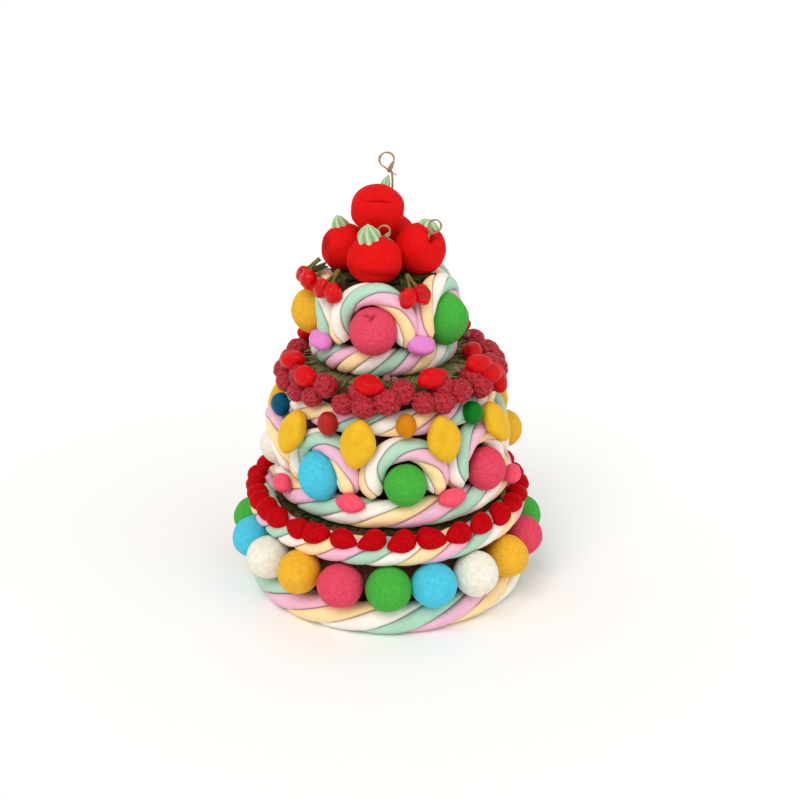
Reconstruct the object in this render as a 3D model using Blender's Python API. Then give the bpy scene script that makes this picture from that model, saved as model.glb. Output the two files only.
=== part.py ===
"""Three-tier candy cake: marshmallow ropes, round marshmallows and gummy sweets on a stepped drum."""

import math
import random

import bmesh
import bpy
from mathutils import Matrix, Vector

SEED = 23

# Bottom tier
BASE_DRUM_RADIUS = 0.0990
BASE_LEDGE_Z = 0.0860
DRUM_SUNK = 0.010
BASE_ROPE_RING = 0.1150
BASE_ROPE_RADIUS = 0.0132
BASE_ROPE_Z = BASE_ROPE_RADIUS
BASE_ROPE_TURNS = 5
LEDGE_ROPE_RING = 0.1129
LEDGE_ROPE_RADIUS = 0.0127
LEDGE_ROPE_Z = 0.0758
LEDGE_ROPE_TURNS = 8
BASE_BALLS = 19
BASE_BALL_RADIUS = 0.0197
BASE_BALL_RING = 0.1240
BASE_BALL_Z = 0.0451
BASE_BALL_AZIMUTH = 0.8
BASE_BALL_SMALLEST = 0.975
# Azimuths of the strawberries at the front, then how many lie evenly round the back
STRAWBERRIES_IN_FRONT = (
    -95.0,
    -85.5,
    -76.5,
    -68.0,
    -59.5,
    -50.5,
    -39.0,
    -29.0,
    -17.0,
    -5.7,
    6.0,
    18.5,
    30.0,
    41.5,
    54.5,
    65.5,
    77.0,
    88.5,
)
STRAWBERRIES_BEHIND = 14
STRAWBERRY_RING = 0.1200
STRAWBERRY_Z = 0.0880
STRAWBERRY_SIZE = (0.0132, 0.0094, 0.0086)
STRAWBERRY_SLOPE = 30.0
STRAWBERRY_LIFT = 0.0008

# Middle tier
MIDDLE_SHIFT = 0.0050
MIDDLE_LEAN = 1.0
MIDDLE_PIVOT_Z = 0.1018
MIDDLE_DRUM_RADIUS = 0.0806
MIDDLE_DRUM_TOP = 0.1650
MIDDLE_NECK_RADIUS = 0.0715
MIDDLE_NECK_STEP = 0.0010
MIDDLE_LEDGE_Z = 0.2075
MIDDLE_ROPE_RING = 0.0954
MIDDLE_ROPE_RADIUS = 0.0124
MIDDLE_ROPE_Z = 0.1018
MIDDLE_ROPE_TURNS = 5
SHOULDER_ROPE_RING = 0.0825
SHOULDER_ROPE_RADIUS = 0.0108
SHOULDER_ROPE_Z = 0.1783
SHOULDER_ROPE_TURNS = 6
MIDDLE_ARCHES = 8
MIDDLE_ARCH_AZIMUTH = 6.5
MIDDLE_ARCH_PLANE = 0.0908
MIDDLE_ARCH_HALF_WIDTH = 0.0278
MIDDLE_ARCH_Z = 0.1315
MIDDLE_ARCH_ROPE = 0.0095
MIDDLE_FOOT_DROP = 25.0
# One arch, on the left, leans outward over a ball that sits lower
LEANING_ARCH = 6
LEANING_ARCH_TIP = 17.0
LEANING_BALL_Z = 0.1302
MIDDLE_BALL_RING = 0.1010
MIDDLE_BALL_RADIUS = 0.0176
MIDDLE_BALL_Z = 0.1322
MIDDLE_BALL_SMALLEST = 0.97
PILLOW_RING = 0.1050
PILLOW_Z = 0.1185
PILLOW_SIZE = (0.0128, 0.0060, 0.0078)
# Each lemon's azimuth, distance from the axis, height and lean to one side
LEMON_SPOTS = (
    (-110.5, 0.1110, 0.1490, 22.0),
    (-56.0, 0.1062, 0.1645, -34.0),
    (-15.0, 0.1035, 0.1675, -5.0),
    (26.0, 0.1035, 0.1680, 5.0),
    (58.0, 0.1070, 0.1675, 34.0),
    (119.0, 0.1100, 0.1480, -26.0),
    (164.0, 0.1035, 0.1675, 6.0),
    (209.0, 0.1035, 0.1675, 2.0),
)
LEMON_SIZE = (0.0150, 0.0085, 0.0212)
LEMON_POINT = 0.25
# Each round sweet's azimuth, distance from the axis and height
DROP_SPOTS = (
    (-74.5, 0.0990, 0.1735),
    (-32.0, 0.0960, 0.1785),
    (6.5, 0.0960, 0.1812),
    (43.8, 0.0960, 0.1805),
    (101.0, 0.0960, 0.1750),
    (141.0, 0.0960, 0.1750),
    (186.0, 0.0960, 0.1750),
    (231.0, 0.0960, 0.1750),
)
DROP_RADIUS = 0.0084
DROP_STRETCH = 1.15

# Raspberries on the rim of the middle tier
HEAP_BAND_INNER = 0.0750
HEAP_BAND_OUTER = 0.0900
HEAP_BAND_BOTTOM = 0.1898
HEAP_BAND_TOP = 0.2040
RASPBERRY_RADIUS = 0.0100
RASPBERRY_WIDTH = 1.08
# Raspberries that lean on the shoulder rope: azimuth, size and lift of each at the front, then a row at the back
RIM_RASPBERRY_RING = 0.0930
RIM_RASPBERRY_GAP = 0.0008
FRONT_RASPBERRIES = (
    (-73.0, 0.95, 0.0),
    (-57.0, 0.84, 0.0),
    (-44.5, 0.84, 0.0015),
    (-24.5, 0.88, 0.0010),
    (-13.0, 1.02, 0.0),
    (-1.5, 1.05, 0.0040),
    (17.0, 0.88, 0.0030),
    (27.5, 0.97, 0.0),
    (38.0, 0.97, 0.0060),
    (54.0, 1.05, 0.0020),
)
BACK_RASPBERRIES = 14
BACK_RASPBERRY_AZIMUTH = 69.5
BACK_RASPBERRY_PITCH = 15.5
INNER_RASPBERRIES = 16
INNER_RASPBERRY_AZIMUTH = -38.0
INNER_RASPBERRY_RING = 0.0865
INNER_RASPBERRY_Z = 0.2062
# Each jelly's azimuth, distance from the axis, height and slope outward
JELLY_SPOTS = (
    (-71.0, 0.0890, 0.2155, 25.0),
    (-50.0, 0.0915, 0.2120, 40.0),
    (-12.5, 0.0915, 0.2155, 30.0),
    (23.0, 0.0890, 0.2175, 25.0),
    (53.0, 0.0900, 0.2180, 25.0),
    (59.0, 0.0965, 0.2065, 60.0),
    (70.0, 0.0980, 0.1985, 75.0),
    (78.0, 0.0765, 0.2150, -15.0),
    (136.0, 0.0880, 0.2165, 25.0),
    (172.0, 0.0880, 0.2165, 25.0),
    (205.0, 0.0880, 0.2165, 25.0),
    (238.0, 0.0880, 0.2165, 25.0),
)
JELLY_SIZE = (0.0128, 0.0085, 0.0075)

# Top tier
TOP_SHIFT = -0.0030
TOP_DRUM_RADIUS = 0.0391
TOP_DRUM_Z = 0.2825
TOP_ROPE_RING = 0.0529
TOP_ROPE_RADIUS = 0.0118
TOP_ROPE_Z = 0.2209
TOP_ROPE_TURNS = 6
TOP_ARCHES = 5
TOP_ARCH_AZIMUTH = -8.8
TOP_ARCH_PLANE = 0.0510
TOP_ARCH_HALF_WIDTH = 0.0280
TOP_ARCH_Z = 0.2520
TOP_ARCH_ROPE = 0.0089
TOP_FOOT_DROP = 28.0
TOP_BALL_RING = 0.0595
TOP_BALL_RADIUS = 0.0200
TOP_BALL_Z = 0.2530
LILAC_RING = 0.0655
LILAC_Z = 0.2385
LILAC_SIZE = (0.0110, 0.0058, 0.0066)
CHERRY_SPOTS = (
    (24.0, 0.0652, 0.2804),
    (171.0, 0.0652, 0.2792),
    (144.5, 0.0668, 0.2850),
    (-71.5, 0.0668, 0.2850),
    (-46.0, 0.0654, 0.2805),
)
CHERRY_LOBE = 0.0076
CHERRY_SPREAD = 0.0062
CHERRY_STRETCH = 1.1

# Red marshmallows stacked on top
# Each ball's azimuth, distance from the axis, height, radius and height as a share of its width,
# then its calyx as (azimuth, angle from the top), and its skewer as (azimuth, angle from the top,
# stem, how far its loop's centre lies aside and above the stem, and the loop's radius)
RED_BALLS = (
    (-11.6, 0.0322, 0.3046, 0.0226, 0.93, (-41.0, 28.0), (75.0, 30.0, 0.0, -0.0034, 0.0067, 0.0050)),
    (78.4, 0.0318, 0.3057, 0.0222, 1.0, (138.0, 28.0), (28.0, 46.0, 0.0010, 0.0050, 0.0100, 0.0056)),
    (168.4, 0.0318, 0.3057, 0.0222, 1.0, (168.0, 28.0), (200.0, 34.0, 0.0040, -0.0040, 0.0100, 0.0058)),
    (-101.6, 0.0330, 0.3037, 0.0204, 1.0, (-85.0, 10.0), None),
    (-90.0, 0.0045, 0.3384, 0.0226, 1.0, (160.0, 44.0), (125.0, 42.0, 0.0130, -0.0051, 0.0125, 0.0062)),
)
CALYX_RADIUS = 0.0092
CALYX_HEIGHT = 0.0110
CALYX_SUNK = 0.0010
CALYX_FOLDS = 5
CALYX_VALLEY = 0.78
# Heights and widths of the calyx as shares of its own, from its sunk foot to its tip
CALYX_PROFILE = ((-0.20, 0.85), (0.10, 1.0), (1.0, 0.12))
SKEWER_RADIUS = 0.0009
SKEWER_LOOP_SWEEP = 310.0
SKEWER_SUNK = 0.0030
SKEWER_STEPS = 7
SKEWER_CORNERS = 3

# Fineness of the faceted solids
SCRAP_VOLUME = 5e-8
SLIVER = 0.0011
STRANDS = 4
CREASE = 0.85
STEPS_PER_TURN = 6
ARCH_STEPS = 7
ARCH_TURNS = 1.15
BALL_SEGMENTS = 8
BALL_RINGS = 6
SWEET_SEGMENTS = 6
SWEET_RINGS = 4
BERRY_SEGMENTS = 5
BERRY_RINGS = 3
DRUM_SIDES = 20
SHARP_ANGLE = 60.0

ROPE_COLOUR = (0.86, 0.78, 0.66)
DRUM_COLOUR = (0.23, 0.20, 0.08)
GREEN = (0.05, 0.45, 0.04)
BLUE = (0.07, 0.55, 0.78)
WHITE = (0.86, 0.83, 0.76)
YELLOW = (0.88, 0.56, 0.04)
PINK = (0.80, 0.06, 0.15)
RED = (0.80, 0.012, 0.012)
DARK_RED = (0.40, 0.012, 0.03)
CHERRY_RED = (0.66, 0.01, 0.015)
BALL_COLOURS = (GREEN, BLUE, WHITE, YELLOW, PINK)
MIDDLE_BALL_COLOURS = (GREEN, PINK, YELLOW, BLUE, PINK, GREEN, WHITE, BLUE)
TOP_BALL_COLOURS = (PINK, GREEN, BLUE, WHITE, YELLOW)

MATT = 0.8
SOFT_SHEEN = 0.4
WET_LOOK = 0.2

draw = random.Random(SEED)


def clear_scene():
    for obj in list(bpy.data.objects):
        bpy.data.objects.remove(obj)


def new_collection(name):
    collection = bpy.data.collections.new(name)
    bpy.context.scene.collection.children.link(collection)
    return collection


def make_material(name, colour, roughness):
    material = bpy.data.materials.new(name)
    material.use_nodes = True
    shader = material.node_tree.nodes["Principled BSDF"]
    shader.inputs["Base Color"].default_value = (*colour, 1.0)
    shader.inputs["Roughness"].default_value = roughness
    shader.inputs["Metallic"].default_value = 0.0
    return material


def face_out(work):
    work.normal_update()
    bmesh.ops.recalc_face_normals(work, faces=work.faces[:])


def add_node(name, work, collection, colour, roughness, smooth=True):
    """Turns the worked shape into a named object with its own material."""
    face_out(work)
    for face in work.faces:
        face.smooth = smooth
    mesh = bpy.data.meshes.new(name)
    work.to_mesh(mesh)
    work.free()
    mesh.materials.append(make_material(name + "_finish", colour, roughness))
    obj = bpy.data.objects.new(name, mesh)
    collection.objects.link(obj)
    if smooth:
        mesh.set_sharp_from_angle(angle=math.radians(SHARP_ANGLE))
    return obj


def outward(azimuth):
    """Level direction away from the cake's axis: azimuth 0 is the front, 90 the right."""
    angle = math.radians(azimuth)
    return Vector((math.sin(angle), -math.cos(angle), 0.0))


def along(azimuth):
    angle = math.radians(azimuth)
    return Vector((math.cos(angle), math.sin(angle), 0.0))


def place(azimuth, ring, height):
    return outward(azimuth) * ring + Vector((0.0, 0.0, height))


def facing(azimuth, ring, height, slope=0.0, roll=0.0):
    """Frame whose X runs round the cake, Y points outward and Z up, at a point on a ring."""
    turn = Matrix.Rotation(math.radians(azimuth + 180.0), 4, "Z")
    dip = Matrix.Rotation(math.radians(-slope), 4, "X")
    spin = Matrix.Rotation(math.radians(roll), 4, "Y")
    return Matrix.Translation(place(azimuth, ring, height)) @ turn @ dip @ spin


def middle_frame():
    pivot = Matrix.Translation((0.0, 0.0, MIDDLE_PIVOT_Z))
    lean = Matrix.Rotation(math.radians(-MIDDLE_LEAN), 4, "Y")
    shift = Matrix.Translation((MIDDLE_SHIFT, 0.0, 0.0))
    return shift @ pivot @ lean @ pivot.inverted()


def top_frame():
    return Matrix.Translation((TOP_SHIFT, 0.0, 0.0))


def rope_section(centre, across, above, radius, turn):
    """Outline of the twisted strands, with a crest and a crease for each strand."""
    points = []
    for index in range(2 * STRANDS):
        reach = radius if index % 2 == 0 else radius * CREASE
        angle = turn + math.pi * index / STRANDS
        points.append(centre + (across * math.cos(angle) + above * math.sin(angle)) * reach)
    return points


def loft(sections, closed):
    work = bmesh.new()
    rows = [[work.verts.new(point) for point in section] for section in sections]
    count = len(rows[0])
    pairs = list(zip(rows, rows[1:] + rows[:1])) if closed else list(zip(rows, rows[1:]))
    for low, high in pairs:
        for index in range(count):
            follow = (index + 1) % count
            work.faces.new((low[index], low[follow], high[follow], high[index]))
    if not closed:
        work.faces.new(rows[0][::-1])
        work.faces.new(rows[-1])
    return work


def rope_ring(ring, height, radius, turns):
    steps = turns * STEPS_PER_TURN
    up = Vector((0.0, 0.0, 1.0))
    sections = []
    for step in range(steps):
        azimuth = 360.0 * step / steps
        turn = 2.0 * math.pi * turns * step / steps
        sections.append(rope_section(place(azimuth, ring, height), outward(azimuth), up, radius, turn))
    return loft(sections, closed=True)


def rope_arch(azimuth, plane, half_width, height, radius, foot_drop):
    """Horseshoe of rope standing in an upright plane, from its left foot to its right foot."""
    middle = place(azimuth, plane, height)
    sections = []
    for step in range(ARCH_STEPS + 1):
        share = step / ARCH_STEPS
        lift = math.radians(180.0 + foot_drop - share * (180.0 + 2.0 * foot_drop))
        spoke = along(azimuth) * math.cos(lift) + Vector((0.0, 0.0, math.sin(lift)))
        centre = middle + spoke * half_width
        turn = 2.0 * math.pi * ARCH_TURNS * share
        sections.append(rope_section(centre, outward(azimuth), spoke, radius, turn))
    return loft(sections, closed=False)


def tipped_outward(azimuth, ring, height, angle):
    """Turn about the level line that runs round the cake through a point on a ring."""
    foot = Matrix.Translation(place(azimuth, ring, height))
    turn = Matrix.Rotation(math.radians(angle), 4, along(azimuth))
    return foot @ turn @ foot.inverted()


def round_solid(frame, size, segments=BALL_SEGMENTS, rings=BALL_RINGS, point=0.0):
    """Ball or gummy of the given half sizes, drawn in to a point at its two ends along Z."""
    work = bmesh.new()
    bmesh.ops.create_uvsphere(work, u_segments=segments, v_segments=rings, radius=1.0)
    for vert in work.verts:
        waist = 1.0 - point * abs(vert.co.z)
        vert.co = Vector((vert.co.x * waist * size[0], vert.co.y * waist * size[1], vert.co.z * size[2]))
    work.transform(frame)
    return work


def round_drum(radii_and_heights):
    """Turned drum from pairs of (radius, height), the lowest first."""
    sections = []
    for radius, height in radii_and_heights:
        sections.append([place(360.0 * side / DRUM_SIDES, radius, height) for side in range(DRUM_SIDES)])
    return loft(sections, closed=False)


def fuse(first, pieces, collection):
    """Joins worked pieces onto an object with one union, then removes the pieces."""
    for index, work in enumerate(pieces):
        face_out(work)
        bmesh.ops.triangulate(work, faces=work.faces[:])
        mesh = bpy.data.meshes.new(first.name + "_piece")
        work.to_mesh(mesh)
        work.free()
        collection.objects.link(bpy.data.objects.new(f"{first.name}_piece_{index}", mesh))
    collection.hide_render = True
    first.modifiers.new("triangles", "TRIANGULATE")
    union = first.modifiers.new("union", "BOOLEAN")
    union.operation = "UNION"
    union.operand_type = "COLLECTION"
    union.collection = collection
    union.solver = "MANIFOLD"
    apply_modifiers(first)
    fill_hollows(first.data)
    for obj in list(collection.objects):
        bpy.data.objects.remove(obj)
    bpy.data.collections.remove(collection)


def apply_modifiers(obj):
    bpy.context.view_layer.update()
    graph = bpy.context.evaluated_depsgraph_get()
    mesh = bpy.data.meshes.new_from_object(obj.evaluated_get(graph))
    obj.modifiers.clear()
    obj.data = mesh


def island_of(start):
    """All the vertices joined to this one by edges."""
    found = {start}
    waiting = [start]
    while waiting:
        for edge in waiting.pop().link_edges:
            for vert in edge.verts:
                if vert not in found:
                    found.add(vert)
                    waiting.append(vert)
    return found


def volume_of(island):
    """Volume inside an island of triangles: below zero for the wall of a hollow."""
    total = 0.0
    for face in {face for vert in island for face in vert.link_faces}:
        first, second, third = (vert.co for vert in face.verts)
        total += first.dot(second.cross(third)) / 6.0
    return total


def fill_hollows(mesh):
    """Takes out the walls of hollows that a union sealed, scraps and slivers."""
    work = bmesh.new()
    work.from_mesh(mesh)
    bmesh.ops.triangulate(work, faces=work.faces[:])
    left = set(work.verts)
    loose = []
    while left:
        island = island_of(next(iter(left)))
        left -= island
        if volume_of(island) < SCRAP_VOLUME:
            loose.extend(island)
    bmesh.ops.delete(work, geom=loose, context="VERTS")
    close_slivers(work)
    work.to_mesh(mesh)
    work.free()


def close_slivers(work):
    """Joins the ends of each very short edge, where that leaves the surface closed."""
    for edge in [edge for edge in work.edges if edge.calc_length() < SLIVER]:
        if not edge.is_valid or edge.calc_length() >= SLIVER:
            continue
        start, end = edge.verts
        shared = neighbours_of(start) & neighbours_of(end)
        if len(shared) == 2:
            middle = (start.co + end.co) / 2.0
            bmesh.ops.pointmerge(work, verts=[start, end], merge_co=middle)


def neighbours_of(vertex):
    return {edge.other_vert(vertex) for edge in vertex.link_edges}


def build_drum(collection):
    base = round_drum([(BASE_DRUM_RADIUS, 0.0), (BASE_DRUM_RADIUS, BASE_LEDGE_Z)])
    drum = add_node("drum", base, collection, DRUM_COLOUR, MATT, smooth=False)
    middle = round_drum(
        [
            (MIDDLE_DRUM_RADIUS, BASE_LEDGE_Z - DRUM_SUNK),
            (MIDDLE_DRUM_RADIUS, MIDDLE_DRUM_TOP),
            (MIDDLE_NECK_RADIUS, MIDDLE_DRUM_TOP + MIDDLE_NECK_STEP),
            (MIDDLE_NECK_RADIUS, MIDDLE_LEDGE_Z),
        ]
    )
    middle.transform(middle_frame())
    top = round_drum([(TOP_DRUM_RADIUS, MIDDLE_LEDGE_Z - DRUM_SUNK), (TOP_DRUM_RADIUS, TOP_DRUM_Z)])
    top.transform(top_frame())
    fuse(drum, [middle, top], new_collection("drum_pieces"))


def build_ropes(collection):
    base = rope_ring(BASE_ROPE_RING, BASE_ROPE_Z, BASE_ROPE_RADIUS, BASE_ROPE_TURNS)
    add_node("base_rope", base, collection, ROPE_COLOUR, MATT)
    middle = rope_ring(MIDDLE_ROPE_RING, MIDDLE_ROPE_Z, MIDDLE_ROPE_RADIUS, MIDDLE_ROPE_TURNS)
    middle.transform(middle_frame())
    add_node("middle_rope", middle, collection, ROPE_COLOUR, MATT)
    top = rope_ring(TOP_ROPE_RING, TOP_ROPE_Z, TOP_ROPE_RADIUS, TOP_ROPE_TURNS)
    top.transform(top_frame())
    add_node("top_rope", top, collection, ROPE_COLOUR, MATT)


def build_ledge_rope(collection):
    """Rope on the base balls with the strawberries that lie on its shoulder."""
    ring = rope_ring(LEDGE_ROPE_RING, LEDGE_ROPE_Z, LEDGE_ROPE_RADIUS, LEDGE_ROPE_TURNS)
    rope = add_node("ledge_rope", ring, collection, ROPE_COLOUR, MATT)
    berries = []
    for azimuth in strawberry_azimuths():
        height = STRAWBERRY_Z + draw.uniform(-STRAWBERRY_LIFT, STRAWBERRY_LIFT)
        frame = facing(azimuth, STRAWBERRY_RING, height, STRAWBERRY_SLOPE)
        lying = frame @ Matrix.Rotation(math.radians(-90.0), 4, "X")
        size = (STRAWBERRY_SIZE[0], STRAWBERRY_SIZE[2], STRAWBERRY_SIZE[1])
        berries.append(round_solid(lying, size, BERRY_SEGMENTS, BERRY_RINGS))
    fuse(rope, berries, new_collection("strawberries"))


def strawberry_azimuths():
    last = STRAWBERRIES_IN_FRONT[-1]
    gap = (360.0 + STRAWBERRIES_IN_FRONT[0] - last) / (STRAWBERRIES_BEHIND + 1)
    behind = [last + gap * (index + 1) for index in range(STRAWBERRIES_BEHIND)]
    return [*STRAWBERRIES_IN_FRONT, *behind]


def build_base_balls(collection):
    """Balls round the foot: the colours repeat both ways from the front, and meet at the back."""
    for index in range(BASE_BALLS):
        azimuth = BASE_BALL_AZIMUTH + 360.0 * index / BASE_BALLS
        frame = facing(azimuth, BASE_BALL_RING, BASE_BALL_Z)
        radius = BASE_BALL_RADIUS * draw.uniform(BASE_BALL_SMALLEST, 1.0)
        ball = round_solid(frame, (radius, radius, radius))
        steps_from_front = index if index <= BASE_BALLS // 2 else index - BASE_BALLS
        colour = BALL_COLOURS[steps_from_front % len(BALL_COLOURS)]
        add_node(f"base_ball_{index + 1:02d}", ball, collection, colour, MATT)


def build_middle_arches(collection):
    pitch = 360.0 / MIDDLE_ARCHES
    pieces = []
    for index in range(MIDDLE_ARCHES):
        azimuth = MIDDLE_ARCH_AZIMUTH + pitch * index
        arch = rope_arch(
            azimuth,
            MIDDLE_ARCH_PLANE,
            MIDDLE_ARCH_HALF_WIDTH,
            MIDDLE_ARCH_Z,
            MIDDLE_ARCH_ROPE,
            MIDDLE_FOOT_DROP,
        )
        if index == LEANING_ARCH:
            foot_z = MIDDLE_ARCH_Z - MIDDLE_ARCH_HALF_WIDTH * math.sin(math.radians(MIDDLE_FOOT_DROP))
            arch.transform(tipped_outward(azimuth, MIDDLE_ARCH_PLANE, foot_z, LEANING_ARCH_TIP))
        pieces.append(arch)
        frame = facing(azimuth + 0.5 * pitch, PILLOW_RING, PILLOW_Z)
        pieces.append(round_solid(frame, PILLOW_SIZE, SWEET_SEGMENTS + 2, SWEET_RINGS))
    for work in pieces:
        work.transform(middle_frame())
    arches = add_node("middle_arches", pieces.pop(0), collection, ROPE_COLOUR, MATT)
    fuse(arches, pieces, new_collection("middle_arch_pieces"))


def build_middle_balls(collection):
    for index in range(MIDDLE_ARCHES):
        azimuth = MIDDLE_ARCH_AZIMUTH + 360.0 * index / MIDDLE_ARCHES
        radius = MIDDLE_BALL_RADIUS * draw.uniform(MIDDLE_BALL_SMALLEST, 1.0)
        height = LEANING_BALL_Z if index == LEANING_ARCH else MIDDLE_BALL_Z
        frame = facing(azimuth, MIDDLE_BALL_RING, height)
        ball = round_solid(frame, (radius, radius, radius))
        ball.transform(middle_frame())
        name = f"middle_ball_{index + 1}"
        add_node(name, ball, collection, MIDDLE_BALL_COLOURS[index], MATT)


def build_lemons(collection):
    for index, (azimuth, ring, height, lean) in enumerate(LEMON_SPOTS):
        frame = facing(azimuth, ring, height, 0.0, lean)
        lemon = round_solid(frame, LEMON_SIZE, SWEET_SEGMENTS + 2, SWEET_RINGS, LEMON_POINT)
        lemon.transform(middle_frame())
        add_node(f"lemon_{index + 1}", lemon, collection, YELLOW, SOFT_SHEEN)


def build_shoulder_rope(collection):
    """Rope over the arches, with a round sweet on its front above each arch."""
    ring = rope_ring(SHOULDER_ROPE_RING, SHOULDER_ROPE_Z, SHOULDER_ROPE_RADIUS, SHOULDER_ROPE_TURNS)
    drops = []
    for azimuth, distance, height in DROP_SPOTS:
        frame = facing(azimuth, distance, height)
        size = (DROP_RADIUS, DROP_RADIUS, DROP_RADIUS * DROP_STRETCH)
        drops.append(round_solid(frame, size, SWEET_SEGMENTS, SWEET_RINGS))
    for work in [ring, *drops]:
        work.transform(middle_frame())
    rope = add_node("shoulder_rope", ring, collection, ROPE_COLOUR, MATT)
    fuse(rope, drops, new_collection("drops"))


def rim_raspberries():
    """Raspberries that hang over the rim, each as low as its size lets it lean on the shoulder rope."""
    spots = list(FRONT_RASPBERRIES)
    for index in range(BACK_RASPBERRIES):
        spots.append((BACK_RASPBERRY_AZIMUTH + BACK_RASPBERRY_PITCH * index, 1.0, 0.0))
    aside = RIM_RASPBERRY_RING - SHOULDER_ROPE_RING
    berries = []
    for azimuth, scale, lift in spots:
        radius = RASPBERRY_RADIUS * scale
        reach = SHOULDER_ROPE_RADIUS + radius + RIM_RASPBERRY_GAP
        height = SHOULDER_ROPE_Z + math.sqrt(reach**2 - aside**2) + lift
        berries.append(raspberry(azimuth, RIM_RASPBERRY_RING, height, radius))
    return berries


def inner_raspberries():
    berries = []
    for index in range(INNER_RASPBERRIES):
        azimuth = INNER_RASPBERRY_AZIMUTH + 360.0 * index / INNER_RASPBERRIES
        berries.append(raspberry(azimuth, INNER_RASPBERRY_RING, INNER_RASPBERRY_Z, RASPBERRY_RADIUS))
    return berries


def raspberry(azimuth, ring, height, radius):
    size = (radius * RASPBERRY_WIDTH, radius, radius)
    return round_solid(facing(azimuth, ring, height), size, BERRY_SEGMENTS, BERRY_RINGS)


def build_raspberries(collection):
    """Two rows of sugared raspberries over the rim, with flat jelly sweets lying on them."""
    sections = []
    for side in range(DRUM_SIDES):
        azimuth = 360.0 * side / DRUM_SIDES
        sections.append(
            [
                place(azimuth, HEAP_BAND_INNER, HEAP_BAND_BOTTOM),
                place(azimuth, HEAP_BAND_OUTER, HEAP_BAND_BOTTOM),
                place(azimuth, HEAP_BAND_OUTER, HEAP_BAND_TOP),
                place(azimuth, HEAP_BAND_INNER, HEAP_BAND_TOP),
            ]
        )
    ring = loft(sections, closed=True)
    pieces = rim_raspberries() + inner_raspberries()
    for azimuth, distance, height, slope in JELLY_SPOTS:
        frame = facing(azimuth, distance, height, slope)
        pieces.append(round_solid(frame, JELLY_SIZE, SWEET_SEGMENTS, SWEET_RINGS))
    for work in [ring, *pieces]:
        work.transform(middle_frame())
    heap = add_node("raspberries", ring, collection, DARK_RED, MATT)
    fuse(heap, pieces, new_collection("raspberry_pieces"))


def build_top_arches(collection):
    pitch = 360.0 / TOP_ARCHES
    pieces = []
    for index in range(TOP_ARCHES):
        azimuth = TOP_ARCH_AZIMUTH + pitch * index
        pieces.append(
            rope_arch(
                azimuth,
                TOP_ARCH_PLANE,
                TOP_ARCH_HALF_WIDTH,
                TOP_ARCH_Z,
                TOP_ARCH_ROPE,
                TOP_FOOT_DROP,
            )
        )
        frame = facing(azimuth + 0.5 * pitch, LILAC_RING, LILAC_Z)
        pieces.append(round_solid(frame, LILAC_SIZE, SWEET_SEGMENTS + 2, SWEET_RINGS))
    for work in pieces:
        work.transform(top_frame())
    arches = add_node("top_arches", pieces.pop(0), collection, ROPE_COLOUR, MATT)
    fuse(arches, pieces, new_collection("top_arch_pieces"))


def build_top_balls(collection):
    for index in range(TOP_ARCHES):
        azimuth = TOP_ARCH_AZIMUTH + 360.0 * index / TOP_ARCHES
        frame = facing(azimuth, TOP_BALL_RING, TOP_BALL_Z)
        ball = round_solid(frame, (TOP_BALL_RADIUS, TOP_BALL_RADIUS, TOP_BALL_RADIUS))
        ball.transform(top_frame())
        add_node(f"top_ball_{index + 1}", ball, collection, TOP_BALL_COLOURS[index], MATT)


def build_cherries(collection):
    """Twin cherry gummies lying on the shoulders of the top arches."""
    for index, (azimuth, ring, height) in enumerate(CHERRY_SPOTS):
        lobes = []
        for side in (-1.0, 1.0):
            frame = facing(azimuth, ring, height) @ Matrix.Translation((side * CHERRY_SPREAD, 0.0, 0.0))
            size = (CHERRY_LOBE, CHERRY_LOBE, CHERRY_LOBE * CHERRY_STRETCH)
            lobes.append(round_solid(frame, size, SWEET_SEGMENTS, SWEET_RINGS))
        for work in lobes:
            work.transform(top_frame())
        cherry = add_node(f"cherry_{index + 1}", lobes[0], collection, CHERRY_RED, WET_LOOK)
        fuse(cherry, lobes[1:], new_collection(f"cherry_pieces_{index}"))


def calyx(frame):
    """Small piped rosette: a fluted cone."""
    sections = []
    sides = 2 * CALYX_FOLDS
    for share, reach in CALYX_PROFILE:
        section = []
        for side in range(sides):
            angle = 2.0 * math.pi * side / sides
            fold = 1.0 if side % 2 == 0 else CALYX_VALLEY
            radius = CALYX_RADIUS * reach * fold
            height = CALYX_HEIGHT * share
            section.append(Vector((radius * math.cos(angle), radius * math.sin(angle), height)))
        sections.append(section)
    work = loft(sections, closed=False)
    work.transform(frame)
    return work


def skewer(foot, stem, aside, above, loop):
    """Knotted skewer end: a short stem that closes in a loop to one side."""
    start = math.atan2(-above, -aside)
    sweep = math.radians(SKEWER_LOOP_SWEEP if aside < 0.0 else -SKEWER_LOOP_SWEEP)
    path = [Vector((0.0, 0.0, -SKEWER_SUNK)), Vector((0.0, 0.0, stem))]
    for step in range(SKEWER_STEPS + 1):
        angle = start + sweep * step / SKEWER_STEPS
        across = aside + loop * math.cos(angle)
        path.append(Vector((across, 0.0, stem + above + loop * math.sin(angle))))
    sections = []
    side = Vector((0.0, 1.0, 0.0))
    for index, centre in enumerate(path):
        ahead = path[min(index + 1, len(path) - 1)] - path[max(index - 1, 0)]
        normal = ahead.normalized().cross(side)
        section = []
        for corner in range(SKEWER_CORNERS):
            angle = 2.0 * math.pi * corner / SKEWER_CORNERS
            section.append(centre + (normal * math.cos(angle) + side * math.sin(angle)) * SKEWER_RADIUS)
        sections.append(section)
    work = loft(sections, closed=False)
    work.transform(Matrix.Translation(foot))
    return work


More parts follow.
